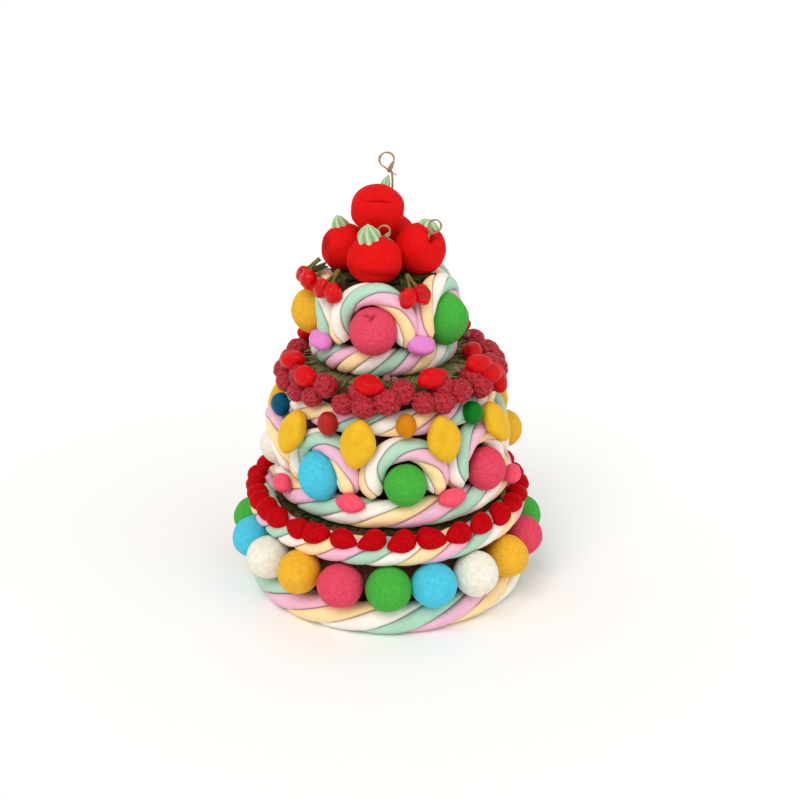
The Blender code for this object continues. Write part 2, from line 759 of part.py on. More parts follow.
def red_ball(name, spot, collection):
    """Red marshmallow with its calyx, and a skewer where one shows."""
    azimuth, ring, height, radius, stretch, calyx_spot, skewer_spot = spot
    centre = place(azimuth, ring, height)
    reach = radius * stretch
    ball = round_solid(Matrix.Translation(centre), (radius, radius, reach))
    ball.transform(top_frame())
    obj = add_node(name, ball, collection, RED, MATT)
    azimuth, fall = calyx_spot
    turn = Matrix.Rotation(math.radians(azimuth), 4, "Z") @ Matrix.Rotation(math.radians(fall), 4, "X")
    lift = Matrix.Translation((0.0, 0.0, reach - CALYX_SUNK))
    pieces = [calyx(Matrix.Translation(centre) @ turn @ lift)]
    if skewer_spot:
        azimuth, fall, *form = skewer_spot
        level = outward(azimuth) * (radius * math.sin(math.radians(fall)))
        foot = centre + level + Vector((0.0, 0.0, reach * math.cos(math.radians(fall))))
        pieces.append(skewer(foot, *form))
    for work in pieces:
        work.transform(top_frame())
    fuse(obj, pieces, new_collection(name + "_pieces"))


def build_red_balls(collection):
    for index, spot in enumerate(RED_BALLS):
        red_ball(f"red_ball_{index + 1}", spot, collection)


def main():
    clear_scene()
    cake = new_collection("candy_cake")
    build_drum(cake)
    build_ropes(cake)
    build_ledge_rope(cake)
    build_base_balls(cake)
    build_middle_arches(cake)
    build_middle_balls(cake)
    build_lemons(cake)
    build_shoulder_rope(cake)
    build_raspberries(cake)
    build_top_arches(cake)
    build_top_balls(cake)
    build_cherries(cake)
    build_red_balls(cake)


main()
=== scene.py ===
"""Looks of the three-tier candy cake: twisted strands, sugared balls, gummy sweets, stems and light."""

import math
import random

import bmesh
import bpy
import numpy as np
from mathutils import Matrix, Vector, noise


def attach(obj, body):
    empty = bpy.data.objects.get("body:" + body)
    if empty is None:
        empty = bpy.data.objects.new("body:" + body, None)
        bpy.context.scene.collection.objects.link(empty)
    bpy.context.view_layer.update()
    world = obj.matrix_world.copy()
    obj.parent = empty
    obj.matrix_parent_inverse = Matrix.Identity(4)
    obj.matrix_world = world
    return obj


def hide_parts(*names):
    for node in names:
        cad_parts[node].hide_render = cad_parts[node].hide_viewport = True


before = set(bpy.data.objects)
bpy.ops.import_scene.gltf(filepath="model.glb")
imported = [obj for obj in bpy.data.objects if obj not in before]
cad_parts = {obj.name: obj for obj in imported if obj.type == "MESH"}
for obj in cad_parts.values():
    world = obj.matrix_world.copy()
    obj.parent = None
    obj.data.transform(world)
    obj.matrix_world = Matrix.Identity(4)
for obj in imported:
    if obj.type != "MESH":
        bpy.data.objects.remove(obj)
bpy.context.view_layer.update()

SEED = 41

# Camera at the photograph's angle, in metres and degrees
CAMERA_PLACE = (0.0115, -1.0106, 0.5709)
CAMERA_PITCH = 68.17
CAMERA_SENSOR = 36.0
CAMERA_LENS = 55.02

# Tiers: the middle one leans a little, and both upper ones stand off the centre
MIDDLE_SHIFT = 0.0050
MIDDLE_LEAN = 1.0
MIDDLE_PIVOT_Z = 0.1018
TOP_SHIFT = -0.0030

# Ropes laid in rings: ring radius, height, rope radius, turns and the angle of the mint strand at the front
BASE_ROPE = (0.1150, 0.0132, 0.0132, 5, -48.0)
LEDGE_ROPE = (0.1129, 0.0758, 0.0127, 8, 52.0)
MIDDLE_ROPE = (0.0954, 0.1018, 0.0124, 5, 182.0)
SHOULDER_ROPE = (0.0825, 0.1783, 0.0108, 6, 121.0)
TOP_ROPE = (0.0529, 0.2209, 0.0118, 6, -27.0)

# Arches of rope: count, first azimuth, plane, half width, height, rope radius and how far the feet turn in
# below the middle, then the angle of each arch's peach strand at its left foot
MIDDLE_ARCHES = (8, 6.5, 0.0908, 0.0272, 0.1315, 0.0106, 27.0)
MIDDLE_ARCH_STARTS = (32.0, 115.0, 70.0, 20.0, 110.0, 50.0, 140.0, 30.0)
# One arch, on the left, leans outward over a ball that sits lower
LEANING_ARCH = 6
LEANING_ARCH_TIP = 17.0
LEANING_FOOT_Z = 0.1198
LEANING_BALL_Z = 0.1302
TOP_ARCHES = (5, -8.8, 0.0510, 0.0277, 0.2520, 0.0097, 30.0)
TOP_ARCH_STARTS = (50.0, -40.0, 95.0, 10.0, 245.0)
ARCH_TURNS = 1.05

# Strands: how many, the step along them, the gap between them in degrees, then how uneven they are
STRANDS = 4
STRAND_STEP = 0.0026
STRAND_GAP = 0.5
ROPE_SWELL = 0.035
STRAND_SWELL = 0.03
EDGE_WANDER = 5.0
# Cross-section of a strand, with a dome outside and three points near the rope's core
DOME_POINTS = 11
DOME_FLOOR = 0.77
DOME_SQUARE = 2.8
DOME_ROUND = 2.0
CORE_REACH = (0.16, 0.05, 0.16)

# Outline of the filling: radius, height, tier and how olive it is, from 0 at its dark walls, painted shade
# for the gaps behind the balls and ropes, to 1 on its ledge
DRUM_STATIONS = (
    (0.0010, 0.0006, 0, 0.0),
    (0.0985, 0.0006, 0, 0.0),
    (0.0985, 0.0845, 0, 0.0),
    (0.0970, 0.0858, 0, 0.0),
    (0.0805, 0.0850, 1, 0.1),
    (0.0805, 0.1640, 1, 0.0),
    (0.0714, 0.1652, 1, 0.1),
    (0.0714, 0.2060, 1, 0.3),
    (0.0700, 0.2073, 1, 1.0),
    (0.0600, 0.2077, 1, 1.0),
    (0.0500, 0.2079, 1, 1.0),
    (0.0395, 0.2080, 1, 0.5),
    (0.0391, 0.2090, 2, 0.2),
    (0.0391, 0.2815, 2, 0.2),
    (0.0380, 0.2825, 2, 0.35),
    (0.0200, 0.2829, 2, 0.35),
    (0.0010, 0.2830, 2, 0.35),
)
BASE_STATIONS = 4
DRUM_SIDES = 360
DRUM_ROUGHNESS = 0.0005
# Fibres on the middle ledge: how many, where they start, how long and how thick they are
LEDGE_TOP = 0.2077
FIBRES = 190
FIBRE_STARTS = (0.046, 0.060)
FIBRE_LENGTHS = (0.014, 0.030)
FIBRE_RADII = (0.0004, 0.0008)

# Round marshmallows: how many, the first azimuth, distance from the axis, height and radius
BASE_BALLS = (19, 0.8, 0.1240, 0.0451, 0.0197)
MIDDLE_BALLS = (8, 6.5, 0.1010, 0.1322, 0.0176)
TOP_BALLS = (5, -8.8, 0.0595, 0.2530, 0.0200)
BASE_BALL_HEIGHT = 0.955
BASE_BALL_LIFT = 0.0010
# Balls that are out of round: index, then turn round the cake, lean, width, height and drop
BASE_BALL_FORMS = {
    1: (-1.0, 0.0, 1.0, 1.0, 0.0),
    2: (-0.8, -6.0, 0.97, 1.04, 0.0),
    3: (0.3, 8.0, 0.92, 1.0, 0.0006),
    4: (0.0, 5.0, 0.95, 1.0, 0.0),
    9: (0.4, 6.0, 0.95, 1.03, 0.0),
    12: (-0.5, -5.0, 0.97, 1.04, 0.0),
    17: (0.4, 0.0, 0.92, 1.0, -0.0026),
}
MIDDLE_BALL_FORMS = {
    0: (0.0, 0.0, 1.0, 1.0, 0.0018),
    1: (1.0, -10.0, 0.97, 1.07, 0.0058),
    7: (1.2, 15.0, 0.96, 1.24, 0.0013),
}
PLAIN_BALL_FORM = (0.0, 0.0, 1.0, 1.0, 0.0)
BALL_LUMP = 0.030
BALL_RIPPLE = 0.006
CREASE_SHADE = 0.7
# The pink ball at the front of the top tier: turn, drop and creases, each with the groove's plane,
# depth and width, the direction in which it shows and how far it runs
FRONT_BALL_TURN = 1.6
FRONT_BALL_DROP = 0.0026
FRONT_BALL_CREASES = (
    ((0.80, -0.22, 0.56), 0.0030, 0.0011, (-0.06, 0.60, 0.79), 0.22),
    ((-0.30, -0.35, 0.88), 0.0012, 0.0014, (0.16, 0.54, 0.82), 0.26),
)
# The green ball to its right: width, height, drop and the blunt point it is drawn out to, by what share
SIDE_BALL_FORM = (0.90, 1.12)
SIDE_BALL_DROP = 0.0022
SIDE_BALL_POINT = ((1.0, 0.0, 0.05), 0.10)

# Strawberries on the ledge rope: the azimuths of those at the front, then an even row round the back
STRAWBERRIES_IN_FRONT = (
    -95.0, -85.5, -76.5, -68.0, -59.5, -50.5, -39.0, -29.0, -17.0, -5.7,
    6.0, 18.5, 30.0, 41.5, 54.5, 65.5, 77.0, 88.5,
)
STRAWBERRIES_BEHIND = 14
STRAWBERRY_RING = 0.1200
STRAWBERRY_Z = 0.0880
# Half sizes of a strawberry: across, thick and from foot to tip
STRAWBERRY_SIZE = (0.0092, 0.0076, 0.0130)
STRAWBERRY_SLOPE = 30.0
STRAWBERRY_ROWS = 36
STRAWBERRY_COLUMNS = 45
PIT_ROWS = 10
PIT_COLUMNS = 9
PIT_DEPTH = 0.15
# Half sizes of the pointed sweets: across, thick and from point to point
PILLOW_SIZE = (0.0080, 0.0066, 0.0130)
LEMON_SIZE = (0.0152, 0.0080, 0.0212)
JELLY_SIZE = (0.0090, 0.0072, 0.0134)
LILAC_SIZE = (0.0082, 0.0064, 0.0122)
# Each sweet's spot is its azimuth, distance from the axis and height, then its slope outward and lean
PILLOW_SPOTS = (
    (28.2, 0.1065, 0.1150, -22.0, 0.0),
    (71.0, 0.1112, 0.1092, -36.0, 4.0),
    (119.0, 0.1065, 0.1165, -20.0, -6.0),
    (164.0, 0.1060, 0.1165, -16.0, 5.0),
    (209.0, 0.1065, 0.1160, -22.0, -3.0),
    (254.0, 0.1060, 0.1165, -18.0, 6.0),
    (-60.5, 0.1098, 0.1122, -40.0, -6.0),
    (-18.9, 0.1065, 0.1148, -22.0, -4.0),
)
# The lemons' spots end with a scale
LEMON_SPOTS = (
    (-110.5, 0.1110, 0.1490, 0.0, 22.0, 1.0),
    (-52.0, 0.1055, 0.1648, -27.0, -4.0, 0.93),
    (-15.0, 0.1035, 0.1675, -8.0, -7.0, 1.0),
    (25.0, 0.1035, 0.1680, -8.0, 8.0, 0.97),
    (57.5, 0.1058, 0.1680, -27.0, 8.0, 0.88),
    (119.0, 0.1100, 0.1480, 0.0, -26.0, 1.0),
    (164.0, 0.1035, 0.1675, -8.0, 6.0, 1.0),
    (209.0, 0.1035, 0.1675, -8.0, 2.0, 0.95),
)
DROP_RADIUS = 0.0086
DROP_HEIGHT = 1.2
DROPS = (
    ("teal", ((-76.5, 0.0990, 0.1735), (141.0, 0.0960, 0.1750))),
    ("brown", ((-32.6, 0.0960, 0.1785), (186.0, 0.0960, 0.1750))),
    ("orange", ((7.7, 0.0962, 0.1812), (231.0, 0.0960, 0.1750))),
    ("green", ((45.4, 0.0962, 0.1805), (101.0, 0.0960, 0.1750))),
)

# Raspberries on the rim of the middle tier
RASPBERRY_RADIUS = 0.0100
RASPBERRY_WIDTH = 1.08
RASPBERRY_CELL_DEPTH = 0.045
# Sugar crystals: how many on a raspberry and on a lump, and their half sizes
BERRY_CRYSTALS = 240
LUMP_CRYSTALS = 30
CRYSTAL_SIZES = (0.00014, 0.00030)
# Raspberries that lean on the shoulder rope: azimuth, size and lift of each at the front
RIM_RASPBERRY_RING = 0.0930
RIM_RASPBERRY_GAP = 0.0008
FRONT_RASPBERRIES = (
    (-73.0, 0.95, 0.0),
    (-57.0, 0.84, 0.0),
    (-44.5, 0.84, 0.0015),
    (-24.5, 0.88, 0.0010),
    (-13.0, 1.02, 0.0),
    (-1.5, 1.05, 0.0040),
    (17.0, 0.88, 0.0030),
    (27.5, 0.97, 0.0),
    (38.0, 0.97, 0.0060),
    (54.0, 1.05, 0.0020),
)
# Those behind them: how many, the first azimuth and the pitch
BACK_RASPBERRIES = (14, 69.5, 15.5)
# An inner ring: how many, the first azimuth, distance from the axis and height
INNER_RASPBERRIES = (16, -38.0, 0.0865, 0.2062)
# Small sugared lumps inside the rim, ending with a radius
LUMP_SPOTS = (
    (-13.0, 0.0790, 0.2150, 0.0030),
    (-8.5, 0.0775, 0.2145, 0.0034),
    (-1.5, 0.0790, 0.2165, 0.0030),
    (3.0, 0.0785, 0.2150, 0.0028),
    (47.0, 0.0780, 0.2140, 0.0032),
    (118.0, 0.0780, 0.2140, 0.0034),
    (152.0, 0.0785, 0.2140, 0.0030),
    (-120.0, 0.0780, 0.2140, 0.0034),
    (-160.0, 0.0785, 0.2140, 0.0030),
)
# Jelly sweets, ending with a turn in their own plane
JELLY_SPOTS = (
    (-71.0, 0.0885, 0.2160, 25.0, 35.0),
    (-50.0, 0.0915, 0.2120, 40.0, -5.0),
    (-10.5, 0.0915, 0.2155, 30.0, -12.0),
    (23.0, 0.0890, 0.2175, 25.0, 5.0),
    (55.0, 0.0905, 0.2178, 25.0, -14.0),
    (61.0, 0.0965, 0.2080, 50.0, -20.0),
    (68.0, 0.0985, 0.1995, 70.0, 75.0),
    (81.0, 0.0715, 0.2150, -15.0, 10.0),
    (136.0, 0.0880, 0.2165, 25.0, 15.0),
    (172.0, 0.0880, 0.2165, 25.0, -15.0),
    (205.0, 0.0880, 0.2165, 25.0, 10.0),
    (238.0, 0.0880, 0.2165, 25.0, -5.0),
)

# Top tier
LILAC_SPOTS = (
    (29.0, 0.0660, 0.2376, -24.0, -10.0),
    (99.2, 0.0655, 0.2380, -20.0, 8.0),
    (171.2, 0.0655, 0.2380, -18.0, -6.0),
    (243.2, 0.0655, 0.2380, -20.0, 10.0),
    (-53.0, 0.0655, 0.2362, -24.0, -4.0),
)
# Pairs of cherries
CHERRY_SPOTS = (
    (24.0, 0.0652, 0.2804),
    (171.0, 0.0652, 0.2792),
    (144.5, 0.0668, 0.2850),
    (-71.5, 0.0668, 0.2850),
    (-43.0, 0.0654, 0.2816),
)
CHERRY_LOBE = 0.0078
CHERRY_SIZE = (0.94 * CHERRY_LOBE, 0.94 * CHERRY_LOBE, 1.16 * CHERRY_LOBE)
CHERRY_SPREAD = 0.0062
STEM_POINTS = 11
# Dark leaves: half sizes and curl, then a ring round the foot of the red balls and one on the ledge under
# the middle rope, laid there as leaves and as painted shade: how many, least and greatest distance from the
# axis, height, step between layers, scale, how many degrees each strays and turns, and the step between their
# noises
LEAF_SIZE = (0.0058, 0.0011, 0.0105)
LEAF_CURL = 18.0
TOP_LEAVES = (30, 0.0300, 0.0375, 0.2840, 0.0008, 1.15, 6.0, 35.0, 3.0)
LEDGE_LEAVES_AND_SHADE = (72, 0.0955, 0.0995, 0.0868, 0.0007, 0.80, 3.0, 70.0, 5.0)
# Each red ball's azimuth, distance from the axis, height, radius and height as a share of its width,
# then its calyx as (azimuth, angle from the top, width and height as shares), and its skewer as
# (azimuth, angle from the top, stem, how far its loop's centre lies aside and above the stem, loop radius)
RED_BALLS = (
    (
        (-11.0, 0.0325, 0.3034, 0.0229, 0.93),
        (-38.0, 20.0, 1.02, 1.25),
        (75.0, 30.0, 0.0, -0.0034, 0.0060, 0.0050),
    ),
    ((78.4, 0.0318, 0.3057, 0.0222, 1.0), (97.0, 22.0, 1.02, 0.5), (28.0, 46.0, 0.0, 0.0046, 0.0078, 0.0052)),
    (
        (168.4, 0.0318, 0.3057, 0.0222, 1.0),
        (168.0, 28.0, 1.0, 0.9),
        (200.0, 34.0, 0.0040, -0.0040, 0.0100, 0.0058),
    ),
    ((-101.6, 0.0330, 0.3037, 0.0204, 1.0), (-100.0, 12.0, 0.78, 0.85), None),
    (
        (-90.0, 0.0045, 0.3384, 0.0226, 0.93),
        (150.0, 36.0, 0.45, 1.0),
        (125.0, 42.0, 0.0130, -0.0044, 0.0110, 0.0062),
    ),
)
CALYX_RADIUS = 0.0092
CALYX_HEIGHT = 0.0110
CALYX_FOLDS = 7
CALYX_ROWS = 34
CALYX_COLUMNS = 96
# Widths and heights of the calyx as shares, each at its share of the way from foot to tip
CALYX_WIDTHS = (
    (0.0, 0.06, 0.16, 0.30, 0.50, 0.68, 0.82, 0.92, 1.0),
    (0.80, 1.0, 1.06, 1.02, 0.88, 0.64, 0.36, 0.17, 0.04),
)
CALYX_HEIGHTS = ((0.0, 0.06, 0.16, 1.0), (-0.22, -0.12, 0.03, 1.06))
SKEWER_RADIUS = 0.0008
SKEWER_KNOT = 0.0021
SKEWER_SWEEP = 318.0
SKEWER_STEPS = 30
# The two red balls whose creases are narrow
SHARP_RED_BALLS = (1, 4)
# Creases of each red ball, given like those of the pink ball
RED_CREASES = (
    (((0.1, 0.3, 1.0), 0.0006, 0.0030, (0.2, -0.9, -0.3), 0.8),),
    (
        ((1.0, 0.1, -0.1), 0.0030, 0.0020, (0.45, -0.66, 0.60), 0.26),
        ((-0.5, 0.3, 0.8), 0.0012, 0.0014, (0.52, -0.64, 0.56), 0.30),
    ),
    (((0.3, 0.3, 1.0), 0.0006, 0.0030, (0.2, 0.9, 0.3), 0.8),),
    (((1.0, 0.2, -0.2), 0.0010, 0.0030, (-0.85, -0.45, 0.35), 0.5),),
    (((0.06, 0.3, 0.95), 0.0016, 0.0007, (0.0, -0.87, 0.49), 0.60),),
)

# Finish shared by all sweets: grain, depth and colour of the light in their skin, and their gloss coat
GRAIN_SCALE = 1500.0
GLOW_DEPTH = 0.004
GLOW_COLOUR = (1.0, 0.6, 0.4)
COAT_ROUGHNESS = 0.08

# Studio: half size of the floor, light from all round, and lamps as (name, azimuth, height, width, power)
FLOOR_REACH = 14.0
SKY_STRENGTH = 0.70
LAMPS = (("key", -28.0, 52.0, 35.0, 1.25), ("fill", 55.0, 30.0, 60.0, 0.45))

draw = random.Random(SEED)


def srgb(red, green, blue):
    """Linear colour from the 0 to 255 values that a picture shows."""
    shares = [value / 255.0 for value in (red, green, blue)]
    return tuple(s / 12.92 if s <= 0.04045 else ((s + 0.055) / 1.055) ** 2.4 for s in shares)


STRAND_LOOKS = {
    "mint": srgb(178, 214, 190),
    "cream": srgb(246, 238, 228),
    "peach": srgb(252, 222, 168),
    "rose": srgb(238, 186, 206),
}
# Colours of the strands in the order in which their angles grow
WIDE_ORDER = ("mint", "cream", "peach", "rose")
NEAR_ORDER = ("mint", "rose", "peach", "cream")
ARCH_ORDER = ("peach", "rose", "mint", "cream")
DROP_LOOKS = {
    "teal": srgb(0, 84, 120),
    "brown": srgb(176, 38, 36),
    "orange": srgb(206, 128, 4),
    "green": srgb(0, 116, 26),
}
BALL_LOOKS = {
    "green": srgb(60, 167, 50),
    "blue": srgb(68, 192, 218),
    "white": srgb(234, 229, 212),
    "yellow": srgb(229, 172, 30),
    "pink": srgb(218, 60, 88),
}
BASE_BALL_LOOKS = ("green", "blue", "white", "yellow", "pink")
MIDDLE_BALL_LOOKS = ("green", "pink", "yellow", "blue", "pink", "green", "white", "blue")
TOP_BALL_LOOKS = ("pink", "green", "blue", "white", "yellow")


# ---------------- frames


def rotation(angle, axis):
    """Turn by degrees about an axis."""
    return Matrix.Rotation(math.radians(angle), 4, axis)


def outward(azimuth):
    """Level direction away from the cake's axis: azimuth 0 is the front, 90 the right."""
    angle = math.radians(azimuth)
    return Vector((math.sin(angle), -math.cos(angle), 0.0))


def along(azimuth):
    angle = math.radians(azimuth)
    return Vector((math.cos(angle), math.sin(angle), 0.0))


def place(azimuth, ring, height):
    return outward(azimuth) * ring + Vector((0.0, 0.0, height))


def facing(azimuth, ring, height, slope=0.0, roll=0.0):
    """Frame whose X runs round the cake, Y points outward and Z up, at a point on a ring."""
    spot = Matrix.Translation(place(azimuth, ring, height))
    return spot @ rotation(azimuth + 180.0, "Z") @ rotation(-slope, "X") @ rotation(roll, "Y")


def middle_frame():
    pivot = Matrix.Translation((0.0, 0.0, MIDDLE_PIVOT_Z))
    shift = Matrix.Translation((MIDDLE_SHIFT, 0.0, 0.0))
    return shift @ pivot @ rotation(-MIDDLE_LEAN, "Y") @ pivot.inverted()


def top_frame():
    return Matrix.Translation((TOP_SHIFT, 0.0, 0.0))


def tipped_outward(azimuth, ring, height, angle):
    """Turn about the level line that runs round the cake through a point on a ring."""
    foot = Matrix.Translation(place(azimuth, ring, height))
    return foot @ rotation(angle, along(azimuth)) @ foot.inverted()


# ---------------- shapes: points, faces and a tone from 0 to 1


def moved(shape, matrix):
    points, faces, tone = shape
    grid = np.array(matrix)
    return points @ grid[:3, :3].T + grid[:3, 3], faces, tone


def joined(shapes):
    points = []
    faces = []
    tones = []
    count = 0
    for part, quads, tone in shapes:
        points.append(part)
        faces.extend([[corner + count for corner in face] for face in quads])
        tones.append(tone)
        count += len(part)
    return np.concatenate(points), faces, np.concatenate(tones)


def loft(sections, closed, tone=None):
    """Skin over a stack of sections, given as an array of steps, corners and coordinates."""
    steps, corners = sections.shape[:2]
    rows = np.arange(steps if closed else steps - 1)[:, None]
    corner = np.arange(corners)[None, :]
    follow = (corner + 1) % corners
    high = (rows + 1) % steps
    quads = np.stack(
        [rows * corners + corner, rows * corners + follow, high * corners + follow, high * corners + corner],
        axis=-1,
    )
    faces = quads.reshape(-1, 4).tolist()
    if not closed:
        faces.append(list(range(corners))[::-1])
        faces.append(list(range((steps - 1) * corners, steps * corners)))
    if tone is None:
        tone = np.ones((steps, corners))
    return sections.reshape(-1, 3), faces, np.asarray(tone, float).reshape(-1)


def noise_of(points, scale, shift):
    """Smooth noise from -1 to 1 at each point."""
    offset = Vector((shift, 2.3 * shift, -1.7 * shift))
    return np.array([noise.noise(Vector(point) * scale + offset) for point in points])


def swollen(shape, size, scale, shift):
    """The same shape with a skin that swells and dips a little."""
    points, faces, tone = shape
    return points * (1.0 + size * noise_of(points, scale, shift))[:, None], faces, tone


def signed_power(values, power):
    return np.sign(values) * np.abs(values) ** power


def in_columns(values, columns):
    return np.repeat(values[:, None], columns, 1)


def points_and_faces(work):
    points = np.array([vert.co[:] for vert in work.verts])
    faces = [[vert.index for vert in face.verts] for face in work.faces]
    work.free()
    return points, faces


def unit_ball(level):
    work = bmesh.new()
    bmesh.ops.create_icosphere(work, subdivisions=level, radius=1.0)
    return points_and_faces(work)


def cube_ball(cuts):
    """Ball with evenly spread square faces."""
    work = bmesh.new()
    bmesh.ops.create_cube(work, size=2.0)
    bmesh.ops.subdivide_edges(work, edges=work.edges[:], cuts=cuts, use_grid_fill=True)
    points, faces = points_and_faces(work)
    points = np.tan(points * math.pi / 4.0)
    return points / np.linalg.norm(points, axis=1)[:, None], faces


FINE_BALL = unit_ball(5)
PLAIN_BALL = unit_ball(4)
CREASED_BALL = unit_ball(6)
BERRY_BALL = cube_ball(17)


def lumpy_ball(size, shift, lump=BALL_LUMP, ripple=BALL_RIPPLE, ball=None):
    """Ball of the given half sizes whose skin swells and dips a little."""
    points, faces = ball or FINE_BALL
    swell = 1.0 + lump * noise_of(points, 1.5, shift) + ripple * noise_of(points, 6.0, shift + 9.0)
    return points * swell[:, None] * np.array(size), faces, np.ones(len(points))


def pebble(size, end_point, flat, columns=40, rows=20, square=2.0):
    """Sweet with an oval outline in X and Z that is drawn in at its Z ends, and with flat faces along Y."""
    fall = np.linspace(0.0, math.pi, rows + 1)[1:-1]
    angles = np.linspace(0.0, 2.0 * math.pi, columns, endpoint=False)
    reach = np.sin(fall)[:, None] ** flat
    depth = signed_power(np.cos(fall), 0.9)
    tall = signed_power(np.sin(angles), 2.0 / square)
    wide = signed_power(np.cos(angles), 2.0 / square) * (1.0 - end_point * tall**2)
    sections = [reach * wide * size[0], in_columns(depth, columns) * size[1], reach * tall * size[2]]
    return loft(np.stack(sections, axis=-1), closed=False)


def tube(path, radius, corners=8):
    """Round tube along a path; radius is one number or one for each point."""
    path = np.asarray(path, float)
    radii = np.broadcast_to(np.asarray(radius, float), (len(path),))
    ahead = np.gradient(path, axis=0)
    ahead /= np.linalg.norm(ahead, axis=1)[:, None]
    side = np.cross(ahead[0], (0.31, 0.17, 0.93))
    angles = np.linspace(0.0, 2.0 * math.pi, corners, endpoint=False)
    sections = np.empty((len(path), corners, 3))
    for index, onward in enumerate(ahead):
        side = side - onward * side.dot(onward)
        side /= np.linalg.norm(side)
        ring = np.cos(angles)[:, None] * side + np.sin(angles)[:, None] * np.cross(onward, side)
        sections[index] = path[index] + ring * radii[index]
    return loft(sections, closed=False)


# ---------------- materials


def new_material(name):
    material = bpy.data.materials.new(name)
    material.use_nodes = True
    return material, material.node_tree, material.node_tree.nodes["Principled BSDF"]


def add_node(tree, kind, **settings):
    node = tree.nodes.new(kind)
    for name, value in settings.items():
        setattr(node, name, value)
    return node


def noise_node(tree, coordinates, scale, detail=3.0):
    node = add_node(tree, "ShaderNodeTexNoise")
    node.inputs["Scale"].default_value = scale
    node.inputs["Detail"].default_value = detail
    tree.links.new(coordinates, node.inputs["Vector"])
    return node.outputs["Fac"]


def spread(tree, value, low, high, new_low=0.0, new_high=1.0):
    node = add_node(tree, "ShaderNodeMapRange")
    tree.links.new(value, node.inputs["Value"])
    for name, number in zip(("From Min", "From Max", "To Min", "To Max"), (low, high, new_low, new_high)):
        node.inputs[name].default_value = number
    return node.outputs["Result"]


def blend(tree, share, first, second):
    """Colour mix; first and second are colours or sockets, and share is a socket or a number."""
    node = add_node(tree, "ShaderNodeMix", data_type="RGBA")
    if isinstance(share, float):
        node.inputs[0].default_value = share
    else:
        tree.links.new(share, node.inputs[0])
    for socket, value in ((node.inputs[6], first), (node.inputs[7], second)):
        if isinstance(value, tuple):
            socket.default_value = (*value, 1.0)
        else:
            tree.links.new(value, socket)
    return node.outputs[2]


def scaled(colour, share):
    return tuple(min(1.0, channel * share) for channel in colour)


def candy_material(
    name, colour, crease=None, crease_span=(0.0, 0.28), mottle=0.10, mottle_scale=260.0,
    grain=0.0, grain_colour=(1.0, 1.0, 1.0), grain_height=0.00012,
    roughness=(0.62, 0.85), specular=0.15, glow=0.18, coat=0.0,
):
    """Soft sweet: mottled colour, a crease colour where the tone attribute is low (painted shade in creases,
    pits and gaps on most sweets and on the filling's walls, the calyx's own green in its valleys), fine grain
    in colour and bump, light in its skin.
    """
    material, tree, shader = new_material(name)
    coordinates = add_node(tree, "ShaderNodeTexCoord").outputs["Object"]
    broad = spread(tree, noise_node(tree, coordinates, mottle_scale), 0.32, 0.68)
    fine = noise_node(tree, coordinates, GRAIN_SCALE, 2.0)
    shade = blend(tree, broad, scaled(colour, 1.0 - mottle), scaled(colour, 1.0 + mottle))
    if grain:
        shade = blend(tree, spread(tree, fine, 0.54, 0.68, 0.0, grain), shade, grain_colour)
    if crease is not None:
        tone = add_node(tree, "ShaderNodeAttribute", attribute_name="tone")
        # Crease colour where the tone is low: painted shade, except the calyx's own green
        shade = blend(tree, spread(tree, tone.outputs["Fac"], *crease_span), crease, shade)
    tree.links.new(shade, shader.inputs["Base Color"])
    rough = spread(tree, noise_node(tree, coordinates, 0.6 * mottle_scale), 0.3, 0.7, *roughness)
    tree.links.new(rough, shader.inputs["Roughness"])
    bump = add_node(tree, "ShaderNodeBump")
    bump.inputs["Strength"].default_value = 0.6
    bump.inputs["Distance"].default_value = grain_height
    tree.links.new(fine, bump.inputs["Height"])
    tree.links.new(bump.outputs["Normal"], shader.inputs["Normal"])
    for socket, value in (
        ("Specular IOR Level", specular),
        ("Subsurface Weight", glow),
        ("Subsurface Radius", GLOW_COLOUR),
        ("Subsurface Scale", GLOW_DEPTH),
        ("Coat Weight", coat),
        ("Coat Roughness", COAT_ROUGHNESS),
    ):
        shader.inputs[socket].default_value = value
    return material


def stage_material():
    material, _, shader = new_material("stage_pale")
    shader.inputs["Base Color"].default_value = (*srgb(250, 249, 247), 1.0)
    shader.inputs["Roughness"].default_value = 0.9
    return material


# ---------------- pieces


def add_piece(name, shapes, material, nodes=()):
    points, faces, tone = joined(shapes)
    mesh = bpy.data.meshes.new(name)
    mesh.from_pydata(points.tolist(), [], faces)
    mesh.attributes.new("tone", "FLOAT", "POINT").data.foreach_set("value", tone.astype(np.float32))
    mesh.shade_smooth()
    mesh.materials.append(material)
    mesh.update()
    piece = bpy.data.objects.new(name, mesh)
    bpy.context.scene.collection.objects.link(piece)
    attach(piece, "root")
    if nodes:
        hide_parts(*nodes)


def ring_path(ring, height, count):
    """Centres, outward and upward directions round a ring, and the share of the way."""
    azimuths = np.linspace(0.0, 360.0, count, endpoint=False)
    centres = np.array([place(azimuth, ring, height)[:] for azimuth in azimuths])
    across = np.array([outward(azimuth)[:] for azimuth in azimuths])
    above = np.tile((0.0, 0.0, 1.0), (count, 1))
    return centres, across, above, np.radians(azimuths)


def arch_path(azimuth, plane, half_width, height, foot_drop, count):
    share = np.linspace(0.0, 1.0, count)
    lift = np.radians(180.0 + foot_drop - share * (180.0 + 2.0 * foot_drop))
    level = np.array(along(azimuth))
    spoke = np.cos(lift)[:, None] * level + np.sin(lift)[:, None] * np.array((0.0, 0.0, 1.0))
    centres = np.array(place(azimuth, plane, height)) + spoke * half_width
    across = np.tile(np.array(outward(azimuth)), (count, 1))
    return centres, across, spoke, share


def wobble(parameter, whole, size, waves):
    """Smooth change along a rope; whole waves let a ring close on itself."""
    total = np.zeros(len(parameter))
    for wave in waves:
        rate = wave if whole else 0.45 * wave * 2.0 * math.pi
        total += np.sin(rate * parameter + draw.uniform(0.0, 6.28)) / len(waves)
    return size * total


